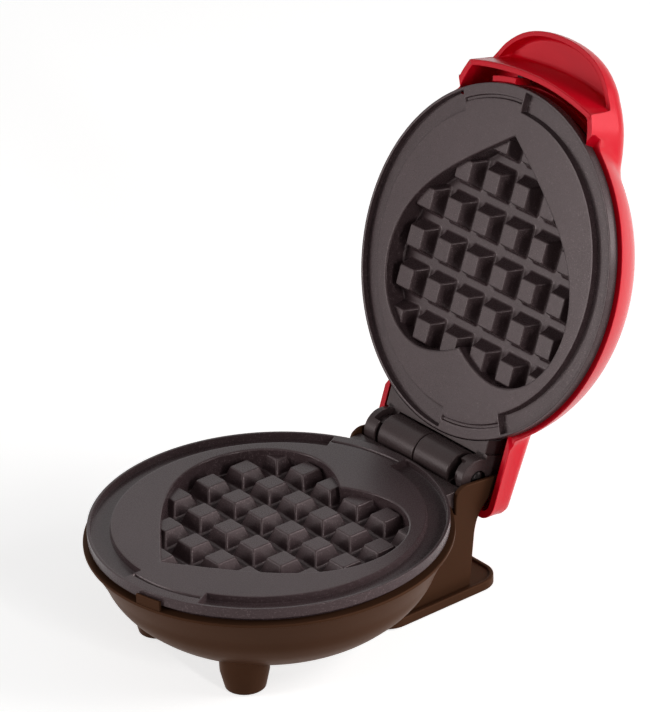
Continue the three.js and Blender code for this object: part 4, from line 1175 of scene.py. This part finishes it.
def make_pin():
    """The hinge pin, with a domed head at each end."""
    end, head = KNUCKLE_OUTER + 0.05, PIN_HEAD_RADIUS
    bends = (0, 0.25, 0.5, 0.75, 1.0, 1.25, 1.45)
    half = [((end + PIN_HEAD_HIGH * math.cos(a), head * math.sin(a)), -1) for a in bends]
    half += [((end, head), 0.1), ((end, 1.9), 0.05)]
    made = on_hinge(half + [((-x, r), c) for (x, r), c in half[::-1]], 64, 3)
    piece("hinge_pin_domed", made, "base", BLACK_STEEL, ("hinge_pin",))


make_lower_bracket()
make_upper_bracket()
make_pin()


# Small parts.

# The cord gland, as ((radius, distance outwards), rounding).
GLAND = [
    ((0, -8), 0), ((4.4, -8), 0.3), ((4.4, 0.3), 0.2), ((5.6, 0.3), 0.3), ((5.6, 1.1), 0.5),
    ((5.0, 3.4), 0.7), ((2.7, 3.4), 0.5), ((2.7, -4), 0.2), ((0, -4), 0),
]


def make_post():
    """The post that shows between the lid's tab and the handle."""
    reach = RIM_RADIUS + 0.8
    at = (reach * math.sin(LID_TAB_TURN), -reach * math.cos(LID_TAB_TURN))
    post = rod_z(POST_RADIUS, RELIEF_Z + 1.3, CORE_Z + 1.2, 40, at, 0.3)
    piece("handle_post_round", post, "lid", BLACK_STEEL, ("handle_post",))


def make_lens():
    """The indicator lens, standing just proud of the dome, whose height there is found by halving."""
    low, high = UPPER_RIM_Z + WALL_TOP_Z, 40.0
    for _ in range(40):
        middle = (low + high) / 2
        gap = lid_outside(np.array([0.0]), np.array([-LENS_Y]), np.array([middle]))[0]
        low, high = (middle, high) if gap < 0 else (low, middle)
    corners = [((0, low - 5), 0), ((LENS_RADIUS, low - 5), 0), ((LENS_RADIUS, low), 0.3)]
    corners += [((LENS_RADIUS - 0.5, low + 0.4), 0.4), ((0, low + 0.62), 0)]
    lens = shifted(lathe(corners, 64, 5), 0, -LENS_Y)
    piece("indicator_lens_domed", lens, "lid", LENS, ("indicator_lens",))


def make_gland():
    gland = laid_back(lathe(GLAND, 64, 4), HINGE_Y - 4.2, GLAND_Z)
    piece("cord_gland_turned", gland, "base", RUBBER, ("cord_gland",))


def make_foot_pads():
    for name in [f"foot_pad_{end}_{side}" for end in ("front", "rear") for side in ("left", "right")]:
        low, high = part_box(name)
        at = (((low.x + high.x) / 2 - DATUM.x) / MM, ((low.y + high.y) / 2 - DATUM.y) / MM)
        pad = rod_z(PAD_RADIUS, FLOOR_Z, (high.z - DATUM.z) / MM, 56, at, 0.35)
        piece(name + "_moulded", pad, "base", RUBBER, (name,))


make_post()
make_lens()
make_gland()
make_foot_pads()


# Camera, lights and stage. The target is in the datum's millimetres.

AZIMUTH = math.radians(52.61)
ELEVATION = math.radians(26.95)
ROLL = math.radians(-2.32)
DISTANCE = 1392.4
TARGET = Vector((-7.66, 32.75, 47.05))
FOCAL_LENGTH = 207.37
# Each lamp's name, place, aim and size in metres, and watts.
LAMPS = [
    ("lid_side", (0.85, 0.9, 0.55), (0.03, 0.05, 0.09), (0.7, 0.9), 12.5),
    ("front", (-0.68, -1.25, 0.42), (0, 0.05, 0.09), (0.7, 0.6), 9),
    ("edge", (1.3, -0.15, 0.5), (0, 0.0, 0.06), (0.08, 0.6), 5),
]
FLOOR_HALF = 6.0
FLOOR_COLOUR = (0.86, 0.85, 0.84, 1)
FLOOR_GLOW = 0.66
WORLD_LIGHT = 0.1


def add_camera():
    level = Vector((math.cos(AZIMUTH), math.sin(AZIMUTH), 0))
    flat = math.cos(ELEVATION)
    back = Vector((level.y * flat, -level.x * flat, math.sin(ELEVATION)))
    right = level * math.cos(ROLL) + back.cross(level) * math.sin(ROLL)
    up = back.cross(right)
    at = DATUM + (TARGET + back * DISTANCE) * MM
    data = bpy.data.cameras.new("camera")
    data.lens = FOCAL_LENGTH
    data.sensor_width = 36
    data.clip_start = 0.05
    data.clip_end = 20
    camera = add_object("camera", data)
    camera.matrix_world = Matrix.Translation(at) @ Matrix((right, up, back)).transposed().to_4x4()
    bpy.context.scene.camera = camera


def add_lamp(name, at, aim, size, watts):
    data = bpy.data.lights.new(name, "AREA")
    data.shape = "RECTANGLE"
    data.size, data.size_y = size
    data.energy = watts
    lamp = add_object(name, data)
    lamp.location = at
    lamp.rotation_mode = "QUATERNION"
    lamp.rotation_quaternion = (Vector(aim) - Vector(at)).to_track_quat("-Z", "Y")


def add_math(tree, operation, *values):
    """A Math node fed by sockets and fixed numbers."""
    made = tree.nodes.new("ShaderNodeMath")
    made.operation = operation
    for socket, value in zip(made.inputs, values):
        if isinstance(value, float):
            socket.default_value = value
        else:
            tree.links.new(value, socket)
    return made.outputs["Value"]


def seen_share(tree, low, extra):
    """A strength that is low as light, and higher where the surface or its reflection is seen."""
    rays = tree.nodes.new("ShaderNodeLightPath").outputs
    seen = add_math(tree, "MAXIMUM", rays["Is Camera Ray"], rays["Is Glossy Ray"])
    seen = add_math(tree, "MAXIMUM", seen, rays["Is Transmission Ray"])
    return add_math(tree, "MULTIPLY_ADD", seen, extra, low)


def add_stage():
    """A plain floor that glows where it is seen, so that it fades into the white background."""
    mesh = bpy.data.meshes.new("floor")
    corners = [(x * FLOOR_HALF, y * FLOOR_HALF, 0) for x, y in ((-1, -1), (1, -1), (1, 1), (-1, 1))]
    mesh.from_pydata(corners, [], [(0, 1, 2, 3)])
    floor = add_object("floor", mesh)
    material, tree, shader = new_material("floor")
    shader["Base Color"].default_value = FLOOR_COLOUR
    shader["Roughness"].default_value = 0.9
    shader["Specular IOR Level"].default_value = 0.1
    shader["Emission Color"].default_value = (1, 1, 1, 1)
    tree.links.new(seen_share(tree, 0.0, FLOOR_GLOW), shader["Emission Strength"])
    mesh.materials.append(material)


def add_world():
    world = bpy.data.worlds.new("world")
    bpy.context.scene.world = world
    world.use_nodes = True
    tree = world.node_tree
    background = tree.nodes["Background"].inputs
    background["Color"].default_value = (1, 1, 1, 1)
    tree.links.new(seen_share(tree, WORLD_LIGHT, 1 - WORLD_LIGHT), background["Strength"])


add_camera()
for lamp_row in LAMPS:
    add_lamp(*lamp_row)
add_stage()
add_world()

scene = bpy.context.scene
scene.view_settings.view_transform = "Standard"
